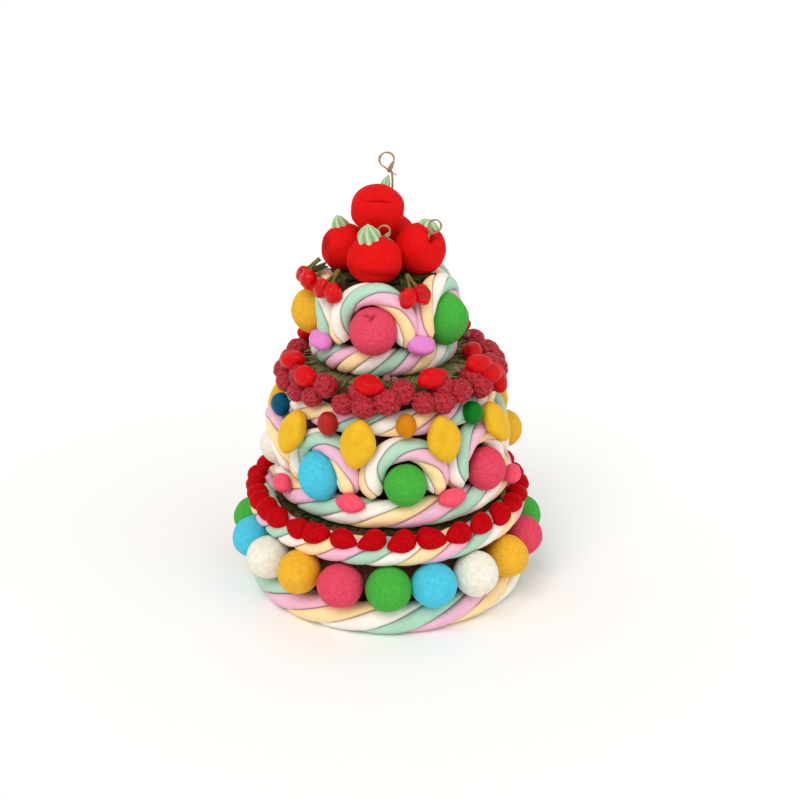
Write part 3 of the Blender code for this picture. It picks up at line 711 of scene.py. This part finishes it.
def strands_of(path, radius, turn, closed):
    """The strands of a rope, each rounded outside and flat against its neighbours."""
    centres, across, above, parameter = path
    count = len(centres)
    thick = radius * (1.0 + wobble(parameter, closed, ROPE_SWELL, (3, 7)))
    if not closed:
        ends = np.minimum(np.arange(count), np.arange(count)[::-1]) / 2.0
        thick = thick * np.sqrt(np.clip(0.45 + ends * 0.40, 0.0, 1.0))
    edges = []
    for strand in range(STRANDS):
        stray = np.radians(wobble(parameter, closed, EDGE_WANDER, (5, 9, 13)))
        edges.append(turn + math.radians(90.0 * strand + 45.0) + stray)
    lobe = np.linspace(-1.0, 1.0, DOME_POINTS)
    dome = (1.0 - np.abs(lobe) ** DOME_SQUARE) ** (1.0 / DOME_ROUND)
    gap = math.radians(STRAND_GAP)
    made = []
    for strand in range(STRANDS):
        low = edges[strand - 1] + gap - (2.0 * math.pi if strand == 0 else 0.0)
        high = edges[strand] - gap
        crest = 1.0 + wobble(parameter, closed, STRAND_SWELL, (4, 11))
        middle = 0.5 * (low + high)
        angle = middle[:, None] + 0.5 * (high - low)[:, None] * lobe
        reach = DOME_FLOOR + (crest[:, None] - DOME_FLOOR) * dome
        inner = np.stack([high, middle, low], axis=1)
        angle = np.concatenate([angle, inner], axis=1)
        reach = np.concatenate([reach, np.tile(CORE_REACH, (count, 1))], axis=1) * thick[:, None]
        sections = (
            centres[:, None, :]
            + (np.cos(angle) * reach)[:, :, None] * across[:, None, :]
            + (np.sin(angle) * reach)[:, :, None] * above[:, None, :]
        )
        # The tone falls to 0 at each strand's edges, where the crease colour paints shade along the gaps
        # between strands
        tone = np.tile(np.concatenate([dome, np.zeros(3)]), (count, 1))
        made.append(loft(sections, closed, tone))
    return made


def ring_strands(rope):
    ring, height, radius, turns, start = rope
    count = int(round(2.0 * math.pi * ring / STRAND_STEP))
    path = ring_path(ring, height, count)
    return strands_of(path, radius, turns * path[3] + math.radians(start), closed=True)


def arch_strands(azimuth, arches, start):
    _, _, plane, half_width, height, radius, foot_drop = arches
    length = math.radians(180.0 + 2.0 * foot_drop) * half_width
    path = arch_path(azimuth, plane, half_width, height, foot_drop, int(round(length / STRAND_STEP)))
    turn = math.radians(start) + 2.0 * math.pi * ARCH_TURNS * path[3]
    return strands_of(path, radius, turn, closed=False)


def add_rope(name, made, order, finishes):
    """One piece for each colour of a rope; made holds groups of four strands."""
    for index, colour in enumerate(order):
        shapes = [group[index] for group in made]
        add_piece(f"{name}_{colour}", shapes, finishes[colour], (name,))


def build_ropes(finishes):
    tilt = middle_frame()
    shift = top_frame()
    same = Matrix.Identity(4)
    for name, rope, matrix, order in (
        ("base_rope", BASE_ROPE, same, WIDE_ORDER),
        ("ledge_rope", LEDGE_ROPE, same, NEAR_ORDER),
        ("middle_rope", MIDDLE_ROPE, tilt, NEAR_ORDER),
        ("shoulder_rope", SHOULDER_ROPE, tilt, NEAR_ORDER),
        ("top_rope", TOP_ROPE, shift, WIDE_ORDER),
    ):
        made = [[moved(strand, matrix) for strand in ring_strands(rope)]]
        add_rope(name, made, order, finishes)
    for name, arches, starts, matrix in (
        ("middle_arches", MIDDLE_ARCHES, MIDDLE_ARCH_STARTS, tilt),
        ("top_arches", TOP_ARCHES, TOP_ARCH_STARTS, shift),
    ):
        made = []
        for index in range(arches[0]):
            azimuth = arches[1] + 360.0 * index / arches[0]
            strands = arch_strands(azimuth, arches, starts[index])
            stand = matrix
            if name == "middle_arches" and index == LEANING_ARCH:
                stand = matrix @ tipped_outward(azimuth, arches[2], LEANING_FOOT_Z, LEANING_ARCH_TIP)
            made.append([moved(strand, stand) for strand in strands])
        add_rope(name, made, ARCH_ORDER, finishes)


def add_ball(node, frame_at, shape, look, finishes):
    add_piece(node + "_candy", [moved(shape, frame_at)], finishes[look], (node,))


def pressed(shape, direction, share):
    """Draws a ball out to a blunt point in one direction."""
    points, faces, tone = shape
    toward = np.array(Vector(direction).normalized())
    reach = np.linalg.norm(points, axis=1)
    facing_it = np.clip(points @ toward / reach, 0.0, 1.0)
    return points * (1.0 + share * facing_it**8)[:, None], faces, tone


def creased(shape, normal, depth, width, toward, spread_of):
    """Presses a groove into a ball round a spot that faces one direction, along a plane through it."""
    points, faces, tone = shape
    across = np.array(Vector(normal).normalized())
    ahead = np.array(Vector(toward).normalized())
    size = np.linalg.norm(points, axis=1).mean()
    level = size * float(across @ ahead)
    offset = points @ across - level + 0.0006 * noise_of(points, 120.0, 3.0)
    side = np.linalg.norm(points / size - ahead, axis=1)
    press = np.exp(-((offset / width) ** 2)) * np.exp(-((side / spread_of) ** 4))
    # The tone falls in the groove, where the crease colour paints shade
    return points * (1.0 - depth * press / size)[:, None], faces, tone * (1.0 - CREASE_SHADE * press)


def build_base_balls(finishes):
    count, first, ring, height, radius = BASE_BALLS
    for index in range(count):
        steps = index if index <= count // 2 else index - count
        look = BASE_BALL_LOOKS[steps % len(BASE_BALL_LOOKS)]
        aside, lean, wide, tall, drop = BASE_BALL_FORMS.get(index, PLAIN_BALL_FORM)
        azimuth = first + aside + 360.0 * index / count
        wide *= radius * draw.uniform(0.985, 1.01)
        tall *= radius * BASE_BALL_HEIGHT * draw.uniform(0.98, 1.01)
        shape = lumpy_ball((wide, radius, tall), 3.1 * index)
        frame_at = facing(azimuth, ring, height + BASE_BALL_LIFT - drop, 0.0, lean)
        add_ball(f"base_ball_{index + 1:02d}", frame_at, shape, look, finishes)


def build_middle_balls(finishes):
    count, first, ring, height, radius = MIDDLE_BALLS
    for index in range(count):
        aside, lean, wide, tall, drop = MIDDLE_BALL_FORMS.get(index, PLAIN_BALL_FORM)
        spot = LEANING_BALL_Z if index == LEANING_ARCH else height
        azimuth = first + aside + 360.0 * index / count
        shape = lumpy_ball((wide * radius, radius, tall * radius), 70 + 2.7 * index)
        frame_at = middle_frame() @ facing(azimuth, ring, spot - drop, 0.0, lean)
        add_ball(f"middle_ball_{index + 1}", frame_at, shape, MIDDLE_BALL_LOOKS[index], finishes)


def top_ball(index, azimuth):
    """Shape and place of a ball of the top tier: the first is creased, the second drawn out."""
    _, _, ring, height, radius = TOP_BALLS
    shift = 110 + 1.9 * index
    if index == 0:
        shape = lumpy_ball((radius, radius, radius), shift, ball=CREASED_BALL)
        for crease in FRONT_BALL_CREASES:
            shape = creased(shape, *crease)
        return shape, facing(azimuth + FRONT_BALL_TURN, ring, height - FRONT_BALL_DROP)
    if index == 1:
        wide, tall = SIDE_BALL_FORM
        shape = lumpy_ball((wide * radius, radius, tall * radius), shift)
        spot = place(azimuth, ring, height - SIDE_BALL_DROP)
        return pressed(shape, *SIDE_BALL_POINT), Matrix.Translation(spot)
    return lumpy_ball((radius, radius, radius), shift), facing(azimuth, ring, height)


def build_top_balls(finishes):
    count, first = TOP_BALLS[:2]
    for index in range(count):
        shape, spot = top_ball(index, first + 360.0 * index / count)
        add_ball(f"top_ball_{index + 1}", top_frame() @ spot, shape, TOP_BALL_LOOKS[index], finishes)


def strawberry(shift):
    """Gummy strawberry along Z: a blunt foot, a pointed tip and rows of pits, with painted shade in the pits.
    """
    fall = np.linspace(0.0, math.pi, STRAWBERRY_ROWS + 1)[1:-1]
    angles = np.linspace(0.0, 2.0 * math.pi, STRAWBERRY_COLUMNS, endpoint=False)
    height = -np.cos(fall)
    reach = np.sin(fall) ** 1.15 * (1.0 - 0.30 * height) * 1.02
    band = np.linspace(0.0, float(PIT_ROWS), STRAWBERRY_ROWS - 1)
    odd = np.where(np.round(band).astype(int) % 2 == 0, 0.0, math.pi)
    pit = (0.5 + 0.5 * np.cos(2.0 * math.pi * band))[:, None] ** 3
    pit = pit * (0.5 + 0.5 * np.cos(PIT_COLUMNS * angles[None, :] + odd[:, None])) ** 3
    pit = pit * np.sin(fall)[:, None]
    reach = reach[:, None] * (1.0 - PIT_DEPTH * pit)
    wide, thick, tall = STRAWBERRY_SIZE
    sections = [
        reach * np.cos(angles) * wide,
        reach * np.sin(angles) * thick,
        in_columns(height, STRAWBERRY_COLUMNS) * tall,
    ]
    # The tone falls in the pits, where the crease colour paints shade
    return swollen(loft(np.stack(sections, axis=-1), False, 1.0 - pit), 0.09, 110.0, shift)


def build_strawberries(finish):
    first, last = STRAWBERRIES_IN_FRONT[0] + 360.0, STRAWBERRIES_IN_FRONT[-1]
    behind = np.linspace(last, first, STRAWBERRIES_BEHIND + 2)[1:-1]
    shapes = []
    for index, azimuth in enumerate((*STRAWBERRIES_IN_FRONT, *behind)):
        height = STRAWBERRY_Z + draw.uniform(-0.0008, 0.0008)
        frame_at = facing(azimuth, STRAWBERRY_RING, height, STRAWBERRY_SLOPE)
        side = draw.choice((-1.0, 1.0)) * draw.uniform(60.0, 105.0)
        lying = frame_at @ rotation(-90.0, "X") @ rotation(side, "Y")
        shapes.append(moved(strawberry(index), lying @ Matrix.Scale(draw.uniform(0.94, 1.03), 4)))
    add_piece("strawberries", shapes, finish, ("ledge_rope",))


def raspberry(shift):
    """Sugared gummy raspberry: rounded cells under a crust of fine crystals."""
    points, faces = BERRY_BALL
    height = points[:, 2]
    angle = np.arctan2(points[:, 1], points[:, 0])
    cells = np.cos(9.2 * np.arccos(np.clip(height, -1.0, 1.0))) * np.cos(6.0 * angle + shift)
    crust = noise_of(points, 11.0, shift)
    depth = RASPBERRY_CELL_DEPTH * np.sqrt(np.clip(1.0 - height**2, 0.0, 1.0))
    swell = 1.0 + depth * cells + 0.04 * crust + 0.07 * noise_of(points, 1.7, shift)
    # Tone: darker between the cells as painted shade, and darker or lighter at random with the crust noise
    tone = np.clip(0.5 + 0.9 * crust + 0.5 * cells, 0.0, 1.0)
    return points * swell[:, None], faces, tone


def crystals_on(shape, matrix, count):
    """Small cubes of sugar lying on a sweet's skin."""
    points = shape[0]
    made = []
    corners = np.array([(x, y, z) for x in (-1, 1) for y in (-1, 1) for z in (-1, 1)], float)
    faces = [[0, 1, 3, 2], [4, 6, 7, 5], [0, 4, 5, 1], [2, 3, 7, 6], [0, 2, 6, 4], [1, 5, 7, 3]]
    for _ in range(count):
        spot = points[draw.randrange(len(points))]
        size = draw.uniform(*CRYSTAL_SIZES)
        angle = draw.uniform(0.0, 3.1)
        axis = Vector((draw.random(), draw.random(), draw.random() + 0.1))
        cube = corners * size @ np.array(Matrix.Rotation(angle, 3, axis)).T + spot * 1.006
        made.append((cube, faces, np.ones(8)))
    return moved(joined(made), matrix)


def raspberry_spots():
    """Azimuth, distance from the axis, height and radius of each raspberry."""
    count, first, pitch = BACK_RASPBERRIES
    leaning = [*FRONT_RASPBERRIES, *((first + pitch * index, 1.0, 0.0) for index in range(count))]
    aside = RIM_RASPBERRY_RING - SHOULDER_ROPE[0]
    spots = []
    for azimuth, scale, lift in leaning:
        radius = RASPBERRY_RADIUS * scale
        reach = SHOULDER_ROPE[2] + radius + RIM_RASPBERRY_GAP
        height = SHOULDER_ROPE[1] + math.sqrt(reach**2 - aside**2) + lift
        spots.append((azimuth, RIM_RASPBERRY_RING, height, radius))
    count, first, ring, height = INNER_RASPBERRIES
    for index in range(count):
        lift = draw.uniform(-0.0004, 0.0012)
        spots.append((first + 360.0 * index / count, ring, height + lift, RASPBERRY_RADIUS))
    return spots


def build_raspberries(finish, sugar, lump_finish):
    shapes = []
    crystals = []
    for index, (*spot, radius) in enumerate(raspberry_spots()):
        slope = draw.uniform(10.0, 45.0)
        matrix = middle_frame() @ facing(*spot, slope, draw.uniform(-30.0, 30.0))
        points, faces, tone = raspberry(4.3 * index)
        size = radius * draw.uniform(1.0, 1.05)
        berry = (points * np.array((RASPBERRY_WIDTH, 1.0, 1.0)) * size, faces, tone)
        shapes.append(moved(berry, matrix))
        crystals.append(crystals_on(berry, matrix, BERRY_CRYSTALS))
    add_piece("raspberries_sugared", shapes, finish, ("raspberries",))
    lumps = []
    for index, (*spot, radius) in enumerate(LUMP_SPOTS):
        matrix = middle_frame() @ facing(*spot)
        lump = lumpy_ball((radius, radius, radius), 9.0 * index, 0.2, 0.08, PLAIN_BALL)
        lumps.append(moved(lump, matrix))
        crystals.append(crystals_on(lump, matrix, LUMP_CRYSTALS))
    add_piece("sugar_crystals", crystals, sugar, ("raspberries",))
    add_piece("sugared_lumps", lumps, lump_finish, ("raspberries",))


def build_jellies(finish):
    shapes = []
    for index, (*spot, turn) in enumerate(JELLY_SPOTS):
        lying = middle_frame() @ facing(*spot) @ rotation(90.0, "X") @ rotation(turn + 90.0, "Y")
        shapes.append(moved(swollen(pebble(JELLY_SIZE, 0.30, 0.66, square=2.1), 0.09, 90.0, index), lying))
    add_piece("jelly_sweets", shapes, finish, ("raspberries",))


def build_lemons(finish):
    for index, (*spot, scale) in enumerate(LEMON_SPOTS):
        frame_at = middle_frame() @ facing(*spot) @ Matrix.Scale(scale, 4)
        shape = pebble(LEMON_SIZE, 0.33, 0.62, columns=48, rows=24, square=2.05)
        node = f"lemon_{index + 1}"
        shape = moved(swollen(shape, 0.03, 70.0, index), frame_at)
        add_piece(node + "_candy", [shape], finish, (node,))


def lying_sweets(spots, tier, shape, swell, step):
    """Copies of a sweet laid level along the cake, each a little uneven in its own way."""
    made = []
    for index, spot in enumerate(spots):
        frame_at = tier @ facing(*spot) @ rotation(90.0, "Y")
        made.append(moved(swollen(shape, swell, 90.0, step * index), frame_at))
    return made


def build_small_sweets(pillow_finish, lilac_finish, drop_finishes):
    shapes = lying_sweets(PILLOW_SPOTS, middle_frame(), pebble(PILLOW_SIZE, 0.30, 0.75), 0.05, 5.0)
    add_piece("pink_pillows", shapes, pillow_finish, ("middle_arches",))
    shapes = lying_sweets(LILAC_SPOTS, top_frame(), pebble(LILAC_SIZE, 0.16, 0.55, square=3.0), 0.06, 7.0)
    add_piece("lilac_pillows", shapes, lilac_finish, ("top_arches",))
    size = (DROP_RADIUS, DROP_RADIUS, DROP_HEIGHT * DROP_RADIUS)
    for name, spots in DROPS:
        shapes = [
            moved(lumpy_ball(size, spot[0], 0.05, 0.0, PLAIN_BALL), middle_frame() @ facing(*spot))
            for spot in spots
        ]
        add_piece("drop_" + name, shapes, drop_finishes[name], ("shoulder_rope",))


def cherry_stem(side):
    """Chunky stem that runs up and inward from a cherry on one side, thicker at both ends."""
    share = np.linspace(0.0, 1.0, STEM_POINTS)
    aside = side * CHERRY_SPREAD * 0.55 * (1.0 - share)
    path = np.stack([aside, -0.0135 * share, 0.0050 + 0.0105 * share - 0.0020 * share**2], axis=-1)
    return tube(path, 0.0013 + 0.0007 * np.linspace(-1.0, 1.0, STEM_POINTS) ** 2)


def build_cherries(finish, stem_finish):
    """Twin cherries with their stems; gives back the two leaves behind each."""
    stems = []
    leaves = []
    for index, spot in enumerate(CHERRY_SPOTS):
        frame_at = top_frame() @ facing(*spot, 10.0, draw.uniform(-14.0, 14.0))
        shapes = []
        for side in (-1.0, 1.0):
            lobe_at = frame_at @ Matrix.Translation((side * CHERRY_SPREAD, 0.0, 0.0))
            lobe = lumpy_ball(CHERRY_SIZE, index + side, 0.16, 0.0, PLAIN_BALL)
            shapes.append(moved(lobe, lobe_at @ rotation(-18.0 * side, "Y")))
            stems.append(moved(cherry_stem(side), frame_at))
        node = f"cherry_{index + 1}"
        add_piece(node + "_candy", shapes, finish, (node,))
        for turn in (-28.0, 24.0):
            leaf_at = frame_at @ Matrix.Translation((0.0, -0.0100, 0.0055)) @ rotation(turn, "Z")
            leaves.append(moved(leaf(index + turn), leaf_at))
    add_piece("cherry_stems", stems, stem_finish)
    return leaves


def leaf_ring(form, tier):
    count, nearest, farthest, height, layer, scale, stray, turn, step = form
    leaves = []
    for index in range(count):
        azimuth = 360.0 * index / count + draw.uniform(-stray, stray)
        ring = draw.uniform(nearest, farthest)
        leaf_at = tier @ facing(azimuth, ring, height + layer * (index % 3))
        leaf_at = leaf_at @ rotation(draw.uniform(-turn, turn), "Z") @ Matrix.Scale(scale, 4)
        leaves.append(moved(leaf(step * index), leaf_at))
    return leaves


def build_leaves(finish, cherry_leaves):
    leaves = [*cherry_leaves, *leaf_ring(TOP_LEAVES, top_frame())]
    # The ledge ring is dark leaves that also paint the shade under the middle rope
    leaves.extend(leaf_ring(LEDGE_LEAVES_AND_SHADE, Matrix.Identity(4)))
    add_piece("leaves_and_painted_shade", leaves, finish)


def leaf(shift):
    """Small thick leaf that lies flat and curls at its tip."""
    points, faces, tone = pebble(LEAF_SIZE, 0.62, 0.5, columns=20, rows=8)
    points = points @ np.array(Matrix.Rotation(math.radians(90.0), 3, "X")).T
    points[:, 2] += 0.0016 * noise_of(points, 140.0, shift) + LEAF_CURL * points[:, 1] ** 2
    return points, faces, tone


def calyx(shift):
    """Small piped rosette: plump ridges that run up to a curled point over a wide rim."""
    share = np.linspace(0.0, 1.0, CALYX_ROWS)
    angles = np.linspace(0.0, 2.0 * math.pi, CALYX_COLUMNS, endpoint=False)
    twist = 0.9 * share[:, None] ** 1.3
    ridge = np.abs(np.cos(0.5 * CALYX_FOLDS * angles[None, :] + twist)) ** 0.6
    depth = 0.34 * (1.0 - share[:, None] ** 4)
    reach = np.interp(share, *CALYX_WIDTHS)[:, None] * (1.0 - depth * (1.0 - ridge))
    tip = 0.28 * share[:, None] ** 3
    sections = [
        (reach * np.cos(angles) + tip * math.cos(shift)) * CALYX_RADIUS,
        (reach * np.sin(angles) + tip * math.sin(shift)) * CALYX_RADIUS,
        in_columns(np.interp(share, *CALYX_HEIGHTS), CALYX_COLUMNS) * CALYX_HEIGHT,
    ]
    rim = np.clip(1.0 - share[:, None] / 0.30, 0.0, 1.0)
    tone = np.clip(0.55 * ridge**14 + 0.6 * rim**2, 0.0, 1.0)
    return swollen(loft(np.stack(sections, axis=-1), False, tone), 0.08, 150.0, shift)


def skewer(stem, aside, above, loop):
    """Knotted end of a bamboo skewer: a stem, an open loop to one side and the knot where the loop closes."""
    hand = 1.0 if aside < 0.0 else -1.0
    centre = Vector((aside, 0.0, stem + above))
    start = math.atan2(-above, -aside)
    path = [(0.0, 0.0, -0.003), (0.0004 * hand, 0.0, 0.5 * stem), (0.0, 0.0, stem)]
    for step in range(SKEWER_STEPS + 1):
        angle = start + hand * math.radians(SKEWER_SWEEP) * step / SKEWER_STEPS
        spoke = Vector((math.cos(angle), 0.10 * math.sin(2.0 * angle), math.sin(angle)))
        path.append((centre + spoke * loop)[:])
    path.append((-0.0010 * hand, 0.0006, stem + 0.0006))
    ring = tube(path, SKEWER_RADIUS * (1.0 + 0.25 * np.sin(np.linspace(0.0, 19.0, len(path)))))
    knot_path = [
        (-0.0034 * hand, 0.0, stem + 0.0010),
        (-0.0010 * hand, 0.0, stem + 0.45 * above),
        (0.0012 * hand, 0.0002, stem + 0.9 * above),
    ]
    knot = tube(knot_path, (0.5 * SKEWER_KNOT, SKEWER_KNOT, 0.4 * SKEWER_KNOT))
    whisker = tube([(0.0, 0.0, stem + 0.0004), (0.0042 * hand, 0.0004, stem - 0.0022)], (0.0006, 0.0002))
    return joined([ring, knot, whisker])


def build_red_balls(finish, calyx_finish, skewer_finish):
    calyxes = []
    skewers = []
    for index, (ball_form, calyx_form, skewer_form) in enumerate(RED_BALLS):
        azimuth, ring, height, radius, stretch = ball_form
        centre = place(azimuth, ring, height)
        reach = radius * stretch
        node = f"red_ball_{index + 1}"
        ball = CREASED_BALL if index in SHARP_RED_BALLS else FINE_BALL
        shape = lumpy_ball((radius, radius, reach), 200.0 + 5.0 * index, 0.045, 0.006, ball)
        for crease in RED_CREASES[index]:
            shape = creased(shape, *crease)
        shape = moved(shape, top_frame() @ Matrix.Translation(centre))
        add_piece(node + "_candy", [shape], finish, (node,))
        azimuth, fall, wide, tall = calyx_form
        turn = rotation(azimuth, "Z") @ rotation(fall, "X")
        lift = Matrix.Translation((0.0, 0.0, reach - 0.0010)) @ Matrix.Diagonal((wide, wide, tall, 1.0))
        calyxes.append(moved(calyx(2.1 * index), top_frame() @ Matrix.Translation(centre) @ turn @ lift))
        if skewer_form:
            azimuth, fall, *form = skewer_form
            level = outward(azimuth) * (radius * math.sin(math.radians(fall)))
            foot = centre + level + Vector((0.0, 0.0, reach * math.cos(math.radians(fall))))
            skewers.append(moved(skewer(*form), top_frame() @ Matrix.Translation(foot)))
    add_piece("calyxes", calyxes, calyx_finish)
    add_piece("skewers", skewers, skewer_finish)


def drum_section(radius, height, matrix):
    """One ring of the filling's skin, slightly rough."""
    rough = np.array(
        [noise.noise(Vector((0.9 * index, radius * 300.0, height * 40.0))) for index in range(DRUM_SIDES)]
    )
    rough *= DRUM_ROUGHNESS
    angle = np.radians(np.linspace(0.0, 360.0, DRUM_SIDES, endpoint=False))
    reach = radius + rough
    section = np.stack([reach * np.sin(angle), -reach * np.cos(angle), height + rough], axis=-1)
    grid = np.array(matrix)
    return section @ grid[:3, :3].T + grid[:3, 3]


def build_drum(base_finish, finish):
    """Filling that shows in the gaps: a stepped drum, darker on its walls than on its ledge, the darker walls
    painted shade for the gaps.
    """
    tiers = (Matrix.Identity(4), middle_frame(), top_frame())
    sections = []
    tones = []
    for radius, height, tier, tone in DRUM_STATIONS:
        sections.append(drum_section(radius, height, tiers[tier]))
        tones.append([tone] * DRUM_SIDES)
    sections, tones = np.array(sections), np.array(tones)
    base = loft(sections[:BASE_STATIONS], False, tones[:BASE_STATIONS])
    upper = loft(sections[BASE_STATIONS:], False, tones[BASE_STATIONS:])
    add_piece("base_filling", [base], base_finish, ("drum",))
    add_piece("drum_filling", [upper], finish, ("drum",))


def build_fibres(finish):
    fibres = []
    for _ in range(FIBRES):
        azimuth = draw.uniform(0.0, 360.0)
        start = draw.uniform(*FIBRE_STARTS)
        length = draw.uniform(*FIBRE_LENGTHS)
        bend = draw.uniform(-7.0, 7.0)
        path = []
        for share in np.linspace(0.0, 1.0, 7):
            height = LEDGE_TOP + 0.0004 + 0.0009 * math.sin(3.0 * share + azimuth)
            path.append(place(azimuth + bend * share, start + length * share, height)[:])
        fibres.append(moved(tube(path, draw.uniform(*FIBRE_RADII), 5), middle_frame()))
    add_piece("ledge_fibres", fibres, finish, ("drum",))


def build_marshmallows():
    # Each strand's crease colour, its own colour darkened, is painted shade along the edges where strands
    # meet
    strands = {
        name: candy_material("strand_" + name, colour, crease=scaled(colour, 0.55), mottle=0.03)
        for name, colour in STRAND_LOOKS.items()
    }
    build_ropes(strands)
    # The balls' crease colour, each ball's colour darkened, is painted shade in their pressed grooves
    balls = {
        name: candy_material(
            "ball_" + name, colour, crease=scaled(colour, 0.4), crease_span=(0.0, 1.0),
            mottle=0.08, grain=0.10, grain_height=0.0003,
        )
        for name, colour in BALL_LOOKS.items()
    }
    build_base_balls(balls)
    build_middle_balls(balls)
    build_top_balls(balls)


def build_berries():
    # The crease colour is painted shade in the strawberries' pits
    strawberry_finish = candy_material(
        "strawberry", srgb(184, 0, 10), crease=srgb(104, 0, 6), crease_span=(0.0, 0.8),
        roughness=(0.50, 0.70), specular=0.05, glow=0.15,
    )
    build_strawberries(strawberry_finish)
    # The crease colour is painted shade between the cells, mixed with random tone from the crust
    raspberry_finish = candy_material(
        "raspberry", srgb(176, 22, 38), crease=srgb(132, 8, 22), crease_span=(0.0, 0.6), mottle=0.2,
        grain=0.45, grain_colour=srgb(222, 122, 132), grain_height=0.0005, roughness=(0.35, 0.6), glow=0.2,
    )
    sugar = candy_material(
        "sugar", srgb(212, 104, 114), roughness=(0.25, 0.4), specular=0.4, glow=0.2, mottle=0.10
    )
    lump_finish = candy_material(
        "sugared_lump", srgb(132, 96, 84), mottle=0.3, grain=0.5, grain_colour=srgb(220, 196, 184),
        grain_height=0.0005,
    )
    build_raspberries(raspberry_finish, sugar, lump_finish)


def build_gummies():
    jelly = candy_material(
        "jelly", srgb(204, 0, 8), mottle=0.12, mottle_scale=160.0, grain_height=0.00004,
        roughness=(0.30, 0.45), specular=0.14, glow=0.3,
    )
    build_jellies(jelly)
    lemon = candy_material(
        "lemon", srgb(228, 178, 26), mottle=0.07, mottle_scale=120.0, grain_height=0.00005,
        roughness=(0.35, 0.5), specular=0.2, glow=0.3,
    )
    build_lemons(lemon)
    drops = {
        name: candy_material(
            "drop_" + name, colour, roughness=(0.3, 0.45), specular=0.12, mottle=0.06, glow=0.3
        )
        for name, colour in DROP_LOOKS.items()
    }
    pillow = candy_material("pillow_pink", srgb(240, 80, 106), mottle=0.08, roughness=(0.45, 0.65))
    lilac = candy_material("pillow_lilac", srgb(224, 132, 202), mottle=0.06, roughness=(0.4, 0.6))
    build_small_sweets(pillow, lilac, drops)
    cherry = candy_material(
        "cherry", srgb(202, 0, 8), mottle=0.25, mottle_scale=150.0, grain_height=0.00003,
        roughness=(0.2, 0.3), specular=0.2, glow=0.3, coat=0.08,
    )
    stem = candy_material("stem", srgb(112, 96, 40), mottle=0.35, mottle_scale=500.0, roughness=(0.4, 0.7))
    green = candy_material(
        "leaf", srgb(52, 60, 24), mottle=0.4, mottle_scale=300.0, roughness=(0.4, 0.6), glow=0.0
    )
    build_leaves(green, build_cherries(cherry, stem))


def build_crown_and_filling():
    # The red balls' crease colour is painted shade in their grooves
    red = candy_material(
        "ball_red", srgb(218, 18, 18), crease=srgb(150, 4, 8), crease_span=(0.0, 1.0), mottle=0.07,
        grain_height=0.0002, specular=0.06, glow=0.15,
    )
    piped = candy_material(
        "calyx", srgb(226, 224, 196), crease=srgb(152, 190, 138), crease_span=(0.0, 0.8), mottle=0.08
    )
    bamboo = candy_material(
        "bamboo", srgb(158, 134, 98), mottle=0.35, mottle_scale=500.0, roughness=(0.5, 0.7), glow=0.0
    )
    build_red_balls(red, piped, bamboo)
    base_filling = candy_material(
        "base_filling", srgb(126, 84, 66), mottle=0.3, mottle_scale=500.0, grain_height=0.0006, glow=0.0
    )
    # The crease colour, dark maroon, is painted shade on the walls in the gaps; the ledge keeps the olive
    filling = candy_material(
        "filling", srgb(122, 118, 70), crease=srgb(80, 36, 30), crease_span=(0.0, 1.0),
        mottle=0.35, mottle_scale=500.0, grain_height=0.0006, glow=0.0,
    )
    build_drum(base_filling, filling)
    build_fibres(candy_material("fibre", srgb(126, 124, 78), mottle=0.4, mottle_scale=300.0, glow=0.0))


# ---------------- stage, light and camera


def build_stage():
    mesh = bpy.data.meshes.new("floor")
    corners = [(x * FLOOR_REACH, y * FLOOR_REACH, 0) for x, y in ((-1, -1), (1, -1), (1, 1), (-1, 1))]
    mesh.from_pydata(corners, [], [(0, 1, 2, 3)])
    mesh.materials.append(stage_material())
    floor = bpy.data.objects.new("floor", mesh)
    bpy.context.scene.collection.objects.link(floor)


def add_sun(name, azimuth, height, width, power):
    """Broad soft light from a compass direction; width is its angle across."""
    data = bpy.data.lights.new(name, "SUN")
    data.energy = power
    data.angle = math.radians(width)
    lamp = bpy.data.objects.new(name, data)
    away = outward(azimuth) * math.cos(math.radians(height))
    away.z = math.sin(math.radians(height))
    lamp.rotation_mode = "QUATERNION"
    lamp.rotation_quaternion = (-away).to_track_quat("-Z", "Y")
    bpy.context.scene.collection.objects.link(lamp)


def build_light():
    world = bpy.data.worlds.new("studio")
    world.use_nodes = True
    background = world.node_tree.nodes["Background"]
    background.inputs["Color"].default_value = (1.0, 1.0, 1.0, 1.0)
    background.inputs["Strength"].default_value = SKY_STRENGTH
    bpy.context.scene.world = world
    for lamp in LAMPS:
        add_sun(*lamp)


def build_camera():
    data = bpy.data.cameras.new("camera")
    data.sensor_width = CAMERA_SENSOR
    data.lens = CAMERA_LENS
    camera = bpy.data.objects.new("camera", data)
    camera.location = CAMERA_PLACE
    camera.rotation_euler = (math.radians(CAMERA_PITCH), 0.0, 0.0)
    bpy.context.scene.collection.objects.link(camera)
    bpy.context.scene.camera = camera


def write_sizes():
    bpy.context.view_layer.update()


build_camera()
build_light()
build_stage()
build_marshmallows()
build_berries()
build_gummies()
build_crown_and_filling()
bpy.context.scene.view_settings.view_transform = "Standard"
write_sizes()
